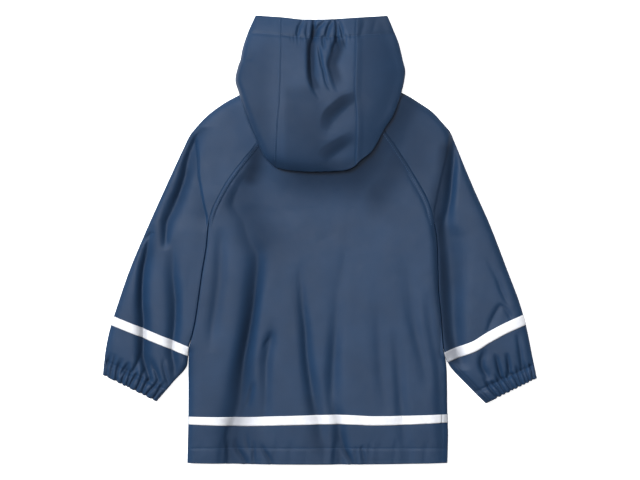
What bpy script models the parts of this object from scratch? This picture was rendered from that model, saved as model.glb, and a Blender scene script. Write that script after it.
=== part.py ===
"""A child's raincoat lying flat with its back up: back, two fronts that lap and close with press studs, two raglan
sleeves with elastic cuffs, a hood of three panels whose crown hangs over the back, and reflective tapes. X runs across
the coat, Y from hem to hood and Z up from the surface it lies on. Sizes are in millimetres until the mesh is made."""

import bpy
import numpy as np

for thing in list(bpy.data.objects):
    bpy.data.objects.remove(thing)

# Cloth and seams
WALL = 1.2  # coated fabric with its lining
HEM_WALL = 2.2  # where the edge is turned in as a hem or casing
SEAM_GAP = 0.3  # between two pieces that are sewn together
HOOD_GAP = 0.6  # between the hood's panels, whose seams bend round the fold at its foot
TAPE_GAP = 0.3  # between tape and cloth
TAPE_WALL = 0.6
TAPE_RISE = TAPE_GAP + TAPE_WALL  # the cloth under the coat rises this much to let the tape lie on the floor
LAY_GAP = 1.5  # hood over shoulders and back
FOLD_DEPTH = 4.0  # how far in from the outline a folded edge turns over
FOLD_STEPS = 4

# Loft of the coat: its upper layer starts this high at a folded edge and rises to LOFT over about RISE_RUN
EDGE_HEIGHT = 8.0
LOFT = 10.0
RISE_RUN = 30.0

# Outlines as (y, x): one x for each height, from the neck down
OUTER_LEFT = [
    (233, -81), (216, -121.5), (203, -145.5), (185, -169.7), (172, -182.3), (155, -196), (137, -204.8), (95, -224.2),
    (47, -246), (-1, -267.2), (-49, -287), (-97, -303.5), (-139, -316.5), (-169, -322.3), (-203, -326),
]
OUTER_RIGHT = [
    (233, 81), (221, 119), (203, 151), (191, 168.2), (173, 184.8), (161, 195), (149, 200.4), (119, 212.4),
    (71, 232.6), (23, 254), (-49, 281.7), (-97, 299.6), (-133, 309.6), (-181, 319.3), (-208, 325),
]
# Raglan seam down to the underarm, then the inner edge of the sleeve
INNER_LEFT = [
    (203, -55), (174, -75), (144, -95), (117, -117), (89, -138), (65, -152), (42, -162.5), (23, -167),
    (-10, -170), (-50, -177), (-94, -184.5), (-144, -193.5), (-162, -198), (-187, -199), (-215, -221), (-243, -245),
]
INNER_RIGHT = [
    (203, 55), (163, 95), (124, 123), (90, 144), (59, 161), (33, 169), (-10, 176), (-73, 179),
    (-136, 186), (-166, 190), (-186, 194.5), (-222, 224.5), (-246, 248.5),
]
# Side of the body from the underarm to the hem
SIDE_LEFT = [(23, -166), (-10, -168), (-50, -175), (-94, -182), (-144, -191), (-162, -195), (-264, -197), (-335, -199)]
SIDE_RIGHT = [
    (23, 170), (-10, 174), (-73, 177), (-136, 183.5), (-166, 187), (-186, 189.5), (-264, 190.5), (-292, 192), (-335, 191),
]
UNDERARM = 23.0

# Body rows: height at the side or raglan seam, at the middle of the back, and at the front edge
HEM = -335.0
BODY_ROWS = [
    (HEM, HEM, HEM), (-324, -324, -324), (-313, -313, -313), (-295, -295, -295), (-276, -278, -278),
    (-263, -264, -264), (-238, -238, -238), (-206, -206, -206), (-172, -172, -172), (-137, -137, -137),
    (-102, -102, -102), (-68, -68, -68), (-34, -34, -34), (-4, -4, -4), (UNDERARM, 23, 23), (27, 27, 26.5),
    (59, 58, 54), (95, 93, 84), (131, 128, 114), (167, 163, 144), (203, 199, 172),
]
UNDERARM_ROW = 14
CORNER_INSET = 1.0  # of the row just above it, where the raglan seams bend into the side seams
TAPE_ROWS = (4, 5)
BACK_COLUMNS = 30
SIDE_SEAM_UNDER = 6.0  # the left side seam lies this far in under the coat
SIDE_SEAM_OVER = 9.0  # the right one this far in on top

# Front closing: the right front laps over the left one, which is the lower of the two as the coat lies
NECK_CURVE = 0.9  # how the front neckline drops from the raglan seam to the middle
LAP = 15.0  # each front passes the middle by this much
FLAP_RISE = 1.5  # room under the outer flap for the stud caps
LAP_RISE = FLAP_RISE + HEM_WALL + 0.4
STUD_FIRST, STUD_STEP, STUDS = 155.0, -98.0, 5
STUD_CAP_RADIUS, STUD_BACK_RADIUS, STUD_CAP_HEIGHT = 6.0, 5.0, 1.2

# Sleeve stations: height at the inner edge and at the outer one, from neck to cuff
SLEEVE_LEFT = [
    (203, 233), (167, 219), (131, 198), (95, 166), (59, 114), (23, 52), (12, 40), (-32, 2),
    (-76, -37), (-119, -77), (-161, -115), (-175, -128), (-193, -146), (-211, -163),
]
SLEEVE_RIGHT = [
    (203, 233), (167, 222), (131, 201), (95, 168), (59, 114), (23, 52), (12, 40), (-32, 2),
    (-78, -37), (-124, -77), (-169, -113), (-184, -128), (-200, -150), (-216, -170),
]
FIRST_TUBE = 6
SLEEVE_TAPE = (10, 11)
CUFF_LEFT = [(-222, -176), (-227, -183.5), (-235, -193.5), (-243, -203)]
CUFF_RIGHT = [(-226, -184), (-231, -190), (-239, -199), (-246, -208)]
SLEEVE_TOP, SLEEVE_UNDER, QUARTER = 8, 5, 2  # columns over the top, underneath, and round half a folded edge
CUFF_FINE = 3  # cuff columns for each one of the sleeve
CUFF_WAVES, CUFF_WAVE = 16, 1.3  # gathers round the cuff and their height

# Hood
RIM = [(-96, 335.5), (-58, 332.5), (-22, 329), (0, 329), (32, 330.5), (53, 332), (101, 335.5)]  # (x, y)
HOOD_LEFT = [
    (335.5, -97), (308, -109), (281, -117.3), (269, -119.3), (257, -123.4), (238, -127), (218, -121.5), (192, -113),
    (165, -103), (146, -94), (120, -81), (107, -67),
]
HOOD_RIGHT = [
    (335.5, 101), (317, 108.7), (293, 118.2), (270, 123.7), (251, 127.8), (237, 126), (222, 122.5), (183, 108),
    (165, 96), (131, 77), (117, 60), (109, 52),
]
HOOD_FOOT = [(-67, 107), (-49, 103), (-9, 100.5), (32, 102), (45, 105), (52, 109)]  # (x, y) of the hanging fold
SEAM_LEFT = [(335, -58), (305, -58), (209, -60), (171, -63), (107, -66)]  # (y, x) of the seam on top
SEAM_RIGHT = [(335, 53), (305, 53), (225, 51), (171, 54), (107, 52)]
HOOD_ROWS = [0, 0.05, 0.12, 0.18, 0.26, 0.34, 0.42, 0.49, 0.55, 0.62, 0.70, 0.78, 0.86, 0.93, 1.0]
SHOULDER_ROW = 7  # the hood edge crosses the shoulder between this row and the next
CASING_ROW = 2
NECK_SIDE = (-81, 233)
CHIN = 9.0  # where the hood's edge meets the neckline, from the middle
FACE_EDGE = [(-96, 335.5), (-66, 296), (-40, 252), (-20, 212), (-9, 176)]
FACE_KNEE = (-88, 328)
HOOD_EDGE_TOP = [(335, 8.5), (300, 9.5), (250, 14), (222, 18), (165, 22), (100, 25.5)]  # (y, height) of the fold's top
HOOD_RISE = [(335, 5), (305, 9), (250, 14), (165, 13), (100, 10)]
HOOD_RUN = 26.0
HOOD_COLUMNS = 24

# Folds: line of (x, y), half width, depth
BACK_FOLDS = [
    ([(-90, 10), (-99, -61), (-108, -126), (-116, -180), (-122, -232), (-130, -290), (-132, -350)], 14, -9),
    ([(-76, -60), (-78, -139), (-87, -205), (-90, -250)], 10, -3),
    ([(-36, -30), (-28, -126), (-22, -192), (-13, -262), (-8, -310)], 12, -6),
    ([(23, -20), (18, -99), (18, -160), (9, -232), (18, -300), (34, -350)], 12, -4.5),
    ([(70, -40), (83, -126), (84, -192), (92, -262)], 11, -3.5),
    ([(108, -130), (114, -219), (124, -290)], 10, -2.5),
    ([(122, -70), (141, -147), (158, -214), (166, -290)], 12, -4),
    ([(-152, -20), (-162, -139), (-168, -200)], 12, -2),
    ([(-86, 140), (-118, 92), (-142, 48), (-150, 10)], 11, -3),
]
LEFT_FOLDS = [
    ([(-190, 160), (-207, 90), (-222, 53), (-233, -5)], 10, -4),
    ([(-262, 15), (-270, -52), (-272, -94), (-268, -126), (-264, -190)], 9, -5),
    ([(-228, 0), (-223, -63), (-222, -105), (-219, -160), (-232, -215)], 9, -4.5),
]
RIGHT_FOLDS = [
    ([(199, 160), (194, 74), (188, 32), (190, -40), (198, -120)], 13, -4),
    ([(244, -30), (267, -81), (281, -112)], 9, -2.5),
    ([(262, -90), (247, -128), (236, -150)], 9, -2.5),
    ([(286, -135), (281, -175), (288, -210)], 9, -3),
]
WEDGE_LEFT = [(-188, 159), (-184, 149), (-181, 120), (-180, 95), (-173, 54), (-168, 33)]
WEDGE_RIGHT = [(194, 159), (186, 119), (180, 95), (169, 44)]
WEDGE_DROP, WEDGE_RUN, WEDGE_REACH = 4.0, 5.0, 30.0  # the sleeve dips this much beside the fold at the shoulder
HOOD_FOLDS = [
    ([(-13, 345), (-14, 300), (-21, 270), (-16, 230), (-9, 203), (6, 196), (24, 214)], 8, -6),
    ([(10, 345), (12, 300), (22, 265), (36, 235)], 8, -4),
    ([(50, 206), (34, 178), (16, 145)], 11, -3.5),
]
RIM_WAVES, RIM_WAVE = 13.5, 2.2  # length and height of the gathers in the hood's elastic
RIM_GATHER = (-38.0, 34.0)
HEM_GATHERS = [(-135.0, -72.0), (27.0, 76.0)]
HEM_WAVE, HEM_WAVES = 1.2, 11.9

NAVY = (0.036, 0.060, 0.105)
SILVER = (0.80, 0.82, 0.86)
METAL = (0.30, 0.32, 0.36)


def curve(rows, at):
    """Smooth value of a table of (key, value) at the given keys: a cubic through its points that never overshoots,
    with the harmonic mean of the slopes on both sides of a point, or none where they differ in sign."""
    rows = np.array(sorted(rows), float)
    keys, values = rows[:, 0], rows[:, 1]
    step = np.diff(values) / np.diff(keys)
    before, after = np.append(step[0], step), np.append(step, step[-1])
    level = before * after <= 0
    slope = np.where(level, 0, 2 * before * after / np.where(level, 1, before + after))
    at = np.clip(np.asarray(at, float), keys[0], keys[-1])
    i = np.clip(np.searchsorted(keys, at) - 1, 0, len(keys) - 2)
    run = keys[i + 1] - keys[i]
    t = (at - keys[i]) / run
    start = values[i] * (1 + 2 * t) * (1 - t) ** 2 + slope[i] * run * t * (1 - t) ** 2
    return start + values[i + 1] * t * t * (3 - 2 * t) + slope[i + 1] * run * t * t * (t - 1)


def ease(t):
    t = np.clip(t, 0, 1)
    return t * t * (3 - 2 * t)


def nearest(x, y, line):
    """Distance to a line of (x, y) points, and how far along it the nearest point lies."""
    best = np.full(np.shape(x), 1e9)
    along = np.zeros(np.shape(x))
    run = 0.0
    for (ax, ay), (bx, by) in zip(line[:-1], line[1:]):
        length = np.hypot(bx - ax, by - ay)
        t = np.clip(((x - ax) * (bx - ax) + (y - ay) * (by - ay)) / length**2, 0, 1)
        distance = np.hypot(x - ax - t * (bx - ax), y - ay - t * (by - ay))
        along = np.where(distance < best, run + t * length, along)
        best = np.minimum(best, distance)
        run += length
    return best, along, run


def folds(x, y, table):
    """Sum of soft troughs, each a bell across its line and fading over its ends."""
    total = np.zeros(np.shape(x))
    for line, half, depth in table:
        distance, along, run = nearest(x, y, line)
        total += depth * np.exp(-((distance / half) ** 2)) * ease(along / 40) * ease((run - along) / 40)
    return total


def outline(rows, low, high):
    """Points (x, y) along an outline table between two heights."""
    keys = np.linspace(high, low, 24)
    return list(zip(curve(rows, keys), keys))


EDGES = [
    outline(OUTER_LEFT, -203, 233),
    outline(OUTER_RIGHT, -208, 233),
    outline(INNER_LEFT, -243, UNDERARM),
    outline(INNER_RIGHT, -246, UNDERARM),
    outline(SIDE_LEFT, -335, UNDERARM),
    outline(SIDE_RIGHT, -335, UNDERARM),
]


def coat_top(x, y):
    """Height of the coat's upper layer before its folds: low at every folded edge, full inside."""
    distance = np.min([nearest(x, y, edge)[0] for edge in EDGES], axis=0)
    return EDGE_HEIGHT + LOFT * (1 - np.exp(-distance / RISE_RUN))


def wedge(x, y, line, side):
    """The dip of the sleeve just outside the fold that runs down from the shoulder."""
    top, foot = line[0][1], line[-1][1]
    over = side * (x - np.interp(y, [p[1] for p in line[::-1]], [p[0] for p in line[::-1]]))
    span = ease((top + 5 - y) / 25) * ease((y - foot + 25) / 30)
    return -WEDGE_DROP * ease(over / WEDGE_RUN) * np.exp(-np.maximum(over, 0) / WEDGE_REACH) * span


class Sheet:
    """A piece of cloth: grids of points on its outer side, joined where they meet, then given a wall."""

    def __init__(self):
        self.points, self.walls, self.faces, self.count = [], [], [], 0

    def add(self, points, walls):
        self.points.append(points.reshape(-1, 3))
        self.walls.append(np.broadcast_to(np.asarray(walls, float), points.shape[:-1]).reshape(-1))
        start = self.count
        self.count += points.reshape(-1, 3).shape[0]
        return start

    def grid(self, points, walls=WALL):
        rows, columns = points.shape[:2]
        index = np.arange(rows * columns).reshape(rows, columns) + self.add(points, walls)
        a, b, c, d = index[:-1, :-1], index[:-1, 1:], index[1:, 1:], index[1:, :-1]
        self.faces += [np.stack([a, b, c], -1).reshape(-1, 3), np.stack([a, c, d], -1).reshape(-1, 3)]

    def bridge(self, coarse, fine, walls=WALL):
        """Triangles between a row and a finer row below it."""
        times = (len(fine) - 1) // (len(coarse) - 1)
        top = self.add(coarse, walls)
        low = self.add(fine, walls)
        made = []
        for j in range(len(coarse) - 1):
            for i in range(times):
                corner = top + j + (i >= times // 2)
                made.append((corner, low + j * times + i + 1, low + j * times + i))
            made.append((top + j, top + j + 1, low + j * times + times // 2))
        self.faces.append(np.array(made))

    def solid(self, name, colour, outward=(0, 0, 1)):
        """Makes the object. outward is the side that the first face looks to."""
        points, walls = np.concatenate(self.points), np.concatenate(self.walls)
        faces = np.concatenate(self.faces)
        _, first, index = np.unique(np.round(points + 0.0013, 2), axis=0, return_index=True, return_inverse=True)
        points, walls, faces = points[first], walls[first], index.reshape(-1)[faces]
        whole = (faces[:, 0] != faces[:, 1]) & (faces[:, 1] != faces[:, 2]) & (faces[:, 0] != faces[:, 2])
        faces = faces[whole]
        corner = points[faces]
        facing = np.cross(corner[:, 1] - corner[:, 0], corner[:, 2] - corner[:, 0])
        if facing[0] @ np.array(outward, float) < 0:
            faces, facing = faces[:, ::-1], -facing
        normal = np.zeros_like(points)
        for k in range(3):
            np.add.at(normal, faces[:, k], facing)
        normal /= np.linalg.norm(normal, axis=1, keepdims=True)
        inner = points - normal * walls[:, None]
        n = len(points)
        ends = np.concatenate([faces[:, [0, 1]], faces[:, [1, 2]], faces[:, [2, 0]]])
        keys, back = ends[:, 0] * n + ends[:, 1], ends[:, 1] * n + ends[:, 0]
        a, b = ends[~np.isin(keys, back)].T
        sides = [np.stack([b, a, a + n], -1), np.stack([b, a + n, b + n], -1)]
        make(name, np.concatenate([points, inner]), np.concatenate([faces, faces[:, ::-1] + n] + sides), colour)


def make(name, points, faces, colour, metallic=0.0, roughness=0.45):
    mesh = bpy.data.meshes.new(name)
    mesh.from_pydata((points * 0.001).tolist(), [], faces.tolist())
    material = bpy.data.materials.new(name)
    material.use_nodes = True
    shader = material.node_tree.nodes["Principled BSDF"]
    shader.inputs["Base Color"].default_value = (*colour, 1)
    shader.inputs["Roughness"].default_value = roughness
    shader.inputs["Metallic"].default_value = metallic
    mesh.materials.append(material)
    bpy.context.scene.collection.objects.link(bpy.data.objects.new(name, mesh))


def tape(name, rows, sign):
    """A strip over two rows of a panel's own points, moved out: sign is 1 where the grid's normals look out."""
    along, across = np.gradient(rows, axis=1), rows[1:] - rows[:1]
    normal = sign * np.cross(along, np.repeat(across, 2, 0))
    normal /= np.linalg.norm(normal, axis=2, keepdims=True)
    outer, inner = rows + TAPE_RISE * normal, rows + TAPE_GAP * normal
    ring = np.stack([outer[0], outer[1], inner[1], inner[0]])
    n = rows.shape[1]
    index = np.arange(4 * n).reshape(4, n)
    faces = []
    for i in range(4):
        a, b = index[i], index[(i + 1) % 4]
        if i < 2:
            faces += [np.stack([a[:-1], a[1:], b[1:]], -1), np.stack([a[:-1], b[1:], b[:-1]], -1)]
        else:
            faces += [np.stack([a[:-1], a[1:], b[:-1]], -1), np.stack([a[1:], b[1:], b[:-1]], -1)]
    faces += [np.array([[0, n, 2 * n], [0, 2 * n, 3 * n]])]
    faces += [np.array([[n - 1, 3 * n - 1, 2 * n - 1], [n - 1, 4 * n - 1, 3 * n - 1]])]
    faces = np.concatenate(faces)
    points = ring.reshape(-1, 3)
    corner = points[faces]
    if np.einsum("ij,ij->i", corner[:, 0], np.cross(corner[:, 1], corner[:, 2])).sum() < 0:
        faces = faces[:, ::-1]
    make(name, points, faces, SILVER, roughness=0.35)


def turn(edge_x, edge_y, way_x, way_y, top, low, start, end, steps):
    """Points round a folded edge, from angle start to end: 1 is its top, 0 its tip and -1 its underside."""
    angle = np.linspace(start, end, steps + 1) * np.pi / 2
    out = FOLD_DEPTH * (np.cos(angle) - 1)
    middle, half = (top + low) / 2, (top - low) / 2
    return np.stack([edge_x + way_x * out, edge_y + way_y * out, middle + half * np.sin(angle)], -1)


# Body ---------------------------------------------------------------------------------------------------------------


def body_heights(share, column):
    """Row heights across the body: share is 0 at the side and 1 at the middle or front edge."""
    side = np.array([row[0] for row in BODY_ROWS], float)[:, None]
    middle = np.array([row[column] for row in BODY_ROWS], float)[:, None]
    return side + (middle - side) * share[None, :]


def hem_gathers(x, y):
    total = np.zeros(np.shape(x))
    for left, right in HEM_GATHERS:
        window = ease((x - left) / 12) * ease((right - x) / 12)
        total += HEM_WAVE * np.cos(2 * np.pi * (x - left) / HEM_WAVES) * window
    return total * ease((-298 - y) / 18)


def back_height(x, y):
    return coat_top(x, y) + folds(x, y, BACK_FOLDS) + hem_gathers(x, y)


def low_height(row):
    return TAPE_RISE if row in TAPE_ROWS else 0.0


def hem_wall(rows, columns):
    walls = np.full((rows, columns), WALL)
    walls[:3] = HEM_WALL
    return walls


side_heights = np.array([row[0] for row in BODY_ROWS], float)
below = side_heights <= UNDERARM
left_edge = np.where(below, curve(SIDE_LEFT, side_heights), curve(INNER_LEFT, side_heights))
right_edge = np.where(below, curve(SIDE_RIGHT, side_heights), curve(INNER_RIGHT, side_heights))
seam_inset = np.full(len(BODY_ROWS), SEAM_GAP / 2)
seam_inset[UNDERARM_ROW + 1] = CORNER_INSET
left_inset = np.where(below, FOLD_DEPTH, seam_inset)
right_inset = np.where(below, SIDE_SEAM_OVER + SEAM_GAP / 2, seam_inset)
tubes = UNDERARM_ROW + 1

share = np.linspace(0, 1, BACK_COLUMNS + 1)
start, end = left_edge + left_inset, right_edge - right_inset
x = start[:, None] + (end - start)[:, None] * share[None, :]
y = body_heights(1 - np.abs(2 * share - 1) ** 2, 1)
back_grid = np.stack([x, y, back_height(x, y)], -1)
back = Sheet()
back.grid(back_grid, hem_wall(*x.shape))
left_turn = []
for i in range(tubes):
    round_edge = turn(left_edge[i], side_heights[i], -1, 0, back_grid[i, 0, 2], low_height(i), -1, 1, FOLD_STEPS)
    seam = np.array([[left_edge[i] + FOLD_DEPTH + SIDE_SEAM_UNDER, side_heights[i], low_height(i)]])
    left_turn.append(np.concatenate([seam, round_edge]))
left_turn = np.array(left_turn)
left_turn[:, -1] = back_grid[:tubes, 0]
back.grid(left_turn, hem_wall(*left_turn.shape[:2]))
back.solid("back", NAVY)
rows = np.concatenate([left_turn[TAPE_ROWS[0] : TAPE_ROWS[1] + 1, :-1], back_grid[TAPE_ROWS[0] : TAPE_ROWS[1] + 1]], 1)
tape("tape_hem_back", rows, 1)


def front_panel(side, edge, inset, lift, foot):
    """Grid of a front from its side or raglan seam to the edge of the lap, by rows."""
    inner = edge + inset
    passed = np.array([-side * LAP, -side * LAP * 0.55, 0, side * (LAP + 1), side * (LAP + 8)], float)
    raised = np.array([lift, lift, lift, lift, 0.0])
    outer = np.linspace(0, 1, 6)[:-1]
    grid = []
    for i, (from_side, _, at_front) in enumerate(BODY_ROWS):
        flat = inner[i] + (passed[-1] - inner[i]) * outer
        xs = np.concatenate([flat, passed[::-1]])
        base = max(lift, low_height(i))
        low = np.concatenate([np.full(len(flat), low_height(i)), np.where(raised[::-1] > 0, base, low_height(i))])
        along = np.clip((xs - inner[i]) / (0 - inner[i]), 0, 1)
        ys = from_side + (at_front - from_side) * along**NECK_CURVE
        grid.append(np.stack([xs, ys, low], -1))
    return np.array(grid)


left_grid = front_panel(
    -1, left_edge, np.where(below, FOLD_DEPTH + SIDE_SEAM_UNDER + SEAM_GAP, seam_inset), LAP_RISE, 0
)
front_left = Sheet()
front_left.grid(left_grid, hem_wall(*left_grid.shape[:2]))
front_left.solid("front_left", NAVY, (0, 0, -1))
tape("tape_hem_front_left", left_grid[TAPE_ROWS[0] : TAPE_ROWS[1] + 1, :6], -1)

right_grid = front_panel(1, right_edge, -np.where(below, FOLD_DEPTH, seam_inset), FLAP_RISE, 0)
right_turn = []
for i in range(tubes):
    height = back_height(np.array(right_edge[i] - FOLD_DEPTH), np.array(side_heights[i]))
    round_edge = turn(right_edge[i], side_heights[i], 1, 0, float(height), low_height(i), 1, -1, FOLD_STEPS)
    seam_x = right_edge[i] - SIDE_SEAM_OVER + SEAM_GAP / 2
    seam_z = float(back_height(np.array(seam_x), np.array(side_heights[i])))
    right_turn.append(np.concatenate([[[seam_x, side_heights[i], seam_z]], round_edge]))
right_turn = np.array(right_turn)
right_turn[:, -1] = right_grid[:tubes, 0]
front_right = Sheet()
front_right.grid(right_turn, hem_wall(*right_turn.shape[:2]))
front_right.grid(right_grid, hem_wall(*right_grid.shape[:2]))
front_right.solid("front_right", NAVY)
rows = np.concatenate([right_turn[TAPE_ROWS[0] : TAPE_ROWS[1] + 1, :-1], right_grid[TAPE_ROWS[0] : TAPE_ROWS[1] + 1]], 1)
tape("tape_hem_front_right", rows, 1)


def disc(name, y, low, radius, height, sides=12):
    """A stud's cap or back: a low disc with a bevelled rim."""
    angle = np.arange(sides) * 2 * np.pi / sides
    rings = [(radius * 0.86, low), (radius, low + height * 0.35), (radius, low + height)]
    points = [np.stack([r * np.cos(angle), y + r * np.sin(angle), np.full(sides, z)], -1) for r, z in rings]
    faces = []
    for k in range(2):
        for i in range(sides):
            j = (i + 1) % sides
            faces.append((k * sides + i, k * sides + j, (k + 1) * sides + j))
            faces.append((k * sides + i, (k + 1) * sides + j, (k + 1) * sides + i))
    for i in range(1, sides - 1):
        faces.append((0, i + 1, i))
        faces.append((2 * sides, 2 * sides + i, 2 * sides + i + 1))
    make(name, np.concatenate(points), np.array(faces), METAL, 1.0, 0.3)


for k in range(STUDS):
    at = STUD_FIRST + STUD_STEP * k
    disc(f"stud_cap_{k + 1}", at, 0.0, STUD_CAP_RADIUS, STUD_CAP_HEIGHT)
    disc(f"stud_back_{k + 1}", at, LAP_RISE + WALL + 0.3, STUD_BACK_RADIUS, STUD_CAP_HEIGHT)


# Sleeves ------------------------------------------------------------------------------------------------------------


def sleeve(name, side, inner_rows, outer_rows, stations, cuff, fold_table, wedge_line):
    """One raglan sleeve: open at the raglan seams, closed below the underarm, gathered at the cuff."""

    def height(x, y):
        return coat_top(x, y) + folds(x, y, fold_table) + wedge(x, y, wedge_line, side)

    def ring(y_in, y_out, closed, low, times=1, wave=0.0):
        inner = np.array([curve(inner_rows, y_in) + side * SEAM_GAP / 2, y_in])
        outer = np.array([float(curve(outer_rows, y_out)), y_out])
        inner = np.array(inner, float)
        way = (outer - inner) / np.linalg.norm(outer - inner)
        width = np.linalg.norm(outer - inner)
        spread = np.linspace(FOLD_DEPTH / width, 1 - FOLD_DEPTH / width, SLEEVE_TOP * times + 1)
        under = np.linspace(1 - FOLD_DEPTH / width, FOLD_DEPTH / width, SLEEVE_UNDER * times + 1)
        flat = inner[None] + spread[:, None] * (outer - inner)[None]
        top = np.concatenate([flat, height(flat[:, 0], flat[:, 1])[:, None]], 1)
        base = inner[None] + under[:, None] * (outer - inner)[None]
        bottom = np.concatenate([base, np.full((len(base), 1), low)], 1)
        round_out = turn(*outer, *way, top[-1, 2], low, 1, -1, 2 * QUARTER * times)
        if closed:
            split = 0.04  # half of the gap at the underarm seam, as a share of the quarter turn
            back_in = turn(*inner, *-way, top[0, 2], low, split, 1, QUARTER * times)
            front_in = turn(*inner, *-way, top[0, 2], low, -1, -split, QUARTER * times)
        else:
            reach = np.linspace(0, FOLD_DEPTH, QUARTER * times + 1)
            edge = inner[None] + reach[:, None] * way[None]
            back_in = np.concatenate([edge, height(edge[:, 0], edge[:, 1])[:, None]], 1)
            front_in = np.concatenate([edge[::-1], np.full((len(edge), 1), low)], 1)
        whole = np.concatenate([back_in[:-1], top, round_out[1:-1], bottom, front_in[1:]])
        if wave:
            count = len(whole)
            share = np.linspace(0, 1, count)
            phase = CUFF_WAVES * (share + 0.012 * np.sin(2 * np.pi * 3 * share))
            shift = wave * np.cos(2 * np.pi * phase)
            away = np.where(whole[:, 2] > (whole[:, 2].max() + low) / 2, 1.0, -1.0)
            level = np.where(away > 0, whole[:, 2] + shift - wave * 0.3, low + (wave + shift) * 0.8)
            near_tip = np.minimum(np.linalg.norm(whole[:, :2] - inner, axis=1), np.linalg.norm(whole[:, :2] - outer, axis=1))
            blend = ease(near_tip / 5)
            whole[:, 2] = whole[:, 2] * (1 - blend) + level * blend
        return whole

    grid = []
    for i, (y_in, y_out) in enumerate(stations):
        low = TAPE_RISE if i in SLEEVE_TAPE else 0.0
        grid.append(ring(y_in, y_out, i >= FIRST_TUBE, low))
    grid = np.array(grid)
    piece = Sheet()
    piece.grid(grid)
    waves = (0.35 * CUFF_WAVE, 0.8 * CUFF_WAVE, CUFF_WAVE, 0.9 * CUFF_WAVE)
    fine = np.array([ring(y_in, y_out, True, 0.0, CUFF_FINE, w) for (y_in, y_out), w in zip(cuff, waves)])
    piece.bridge(grid[-1], fine[0])
    walls = np.full(fine.shape[:2], WALL)
    walls[2:] = HEM_WALL * 0.8
    piece.grid(fine, walls)
    piece.solid(name, NAVY)
    tape(name.replace("sleeve", "tape_sleeve"), grid[SLEEVE_TAPE[0] : SLEEVE_TAPE[1] + 1], -side)


sleeve("sleeve_left", -1, INNER_LEFT, OUTER_LEFT, SLEEVE_LEFT, CUFF_LEFT, LEFT_FOLDS, WEDGE_LEFT)
sleeve("sleeve_right", 1, INNER_RIGHT, OUTER_RIGHT, SLEEVE_RIGHT, CUFF_RIGHT, RIGHT_FOLDS, WEDGE_RIGHT)


# Hood ---------------------------------------------------------------------------------------------------------------

HOOD_EDGE = (
    outline(HOOD_LEFT, 107, 335.5) + HOOD_FOOT[1:-1] + outline(HOOD_RIGHT, 109, 335.5)[::-1]
)


def gathers(x, y):
    left, right = RIM_GATHER
    window = ease((x - left) / 10) * ease((right - x) / 10)
    return RIM_WAVE * np.cos(2 * np.pi * (x + 1) / RIM_WAVES) * window * ease((y - 262) / 45)


def hood_top(x, y):
    """Height of the hood's upper side: from the fold at its edge up over the crown."""
    distance = nearest(x, y, HOOD_EDGE)[0]
    rise = curve(HOOD_RISE, y) * (1 - np.exp(-np.maximum(distance - FOLD_DEPTH, 0) / HOOD_RUN))
    return curve(HOOD_EDGE_TOP, y) + rise + folds(x, y, HOOD_FOLDS) + gathers(x, y)


def nape_height(x, y, gap=LAY_GAP):
    """Height of the outer side of the layer that lies on the shoulders and the back."""
    return coat_top(x, y) + folds(x, y, BACK_FOLDS[-1:]) * 0 + gap


def way_in(points):
    """Unit vectors square to a line of points, to its left hand."""
    along = np.gradient(points, axis=0)
    along /= np.linalg.norm(along, axis=1, keepdims=True)
    return np.stack([-along[:, 1], along[:, 0]], -1)


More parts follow.
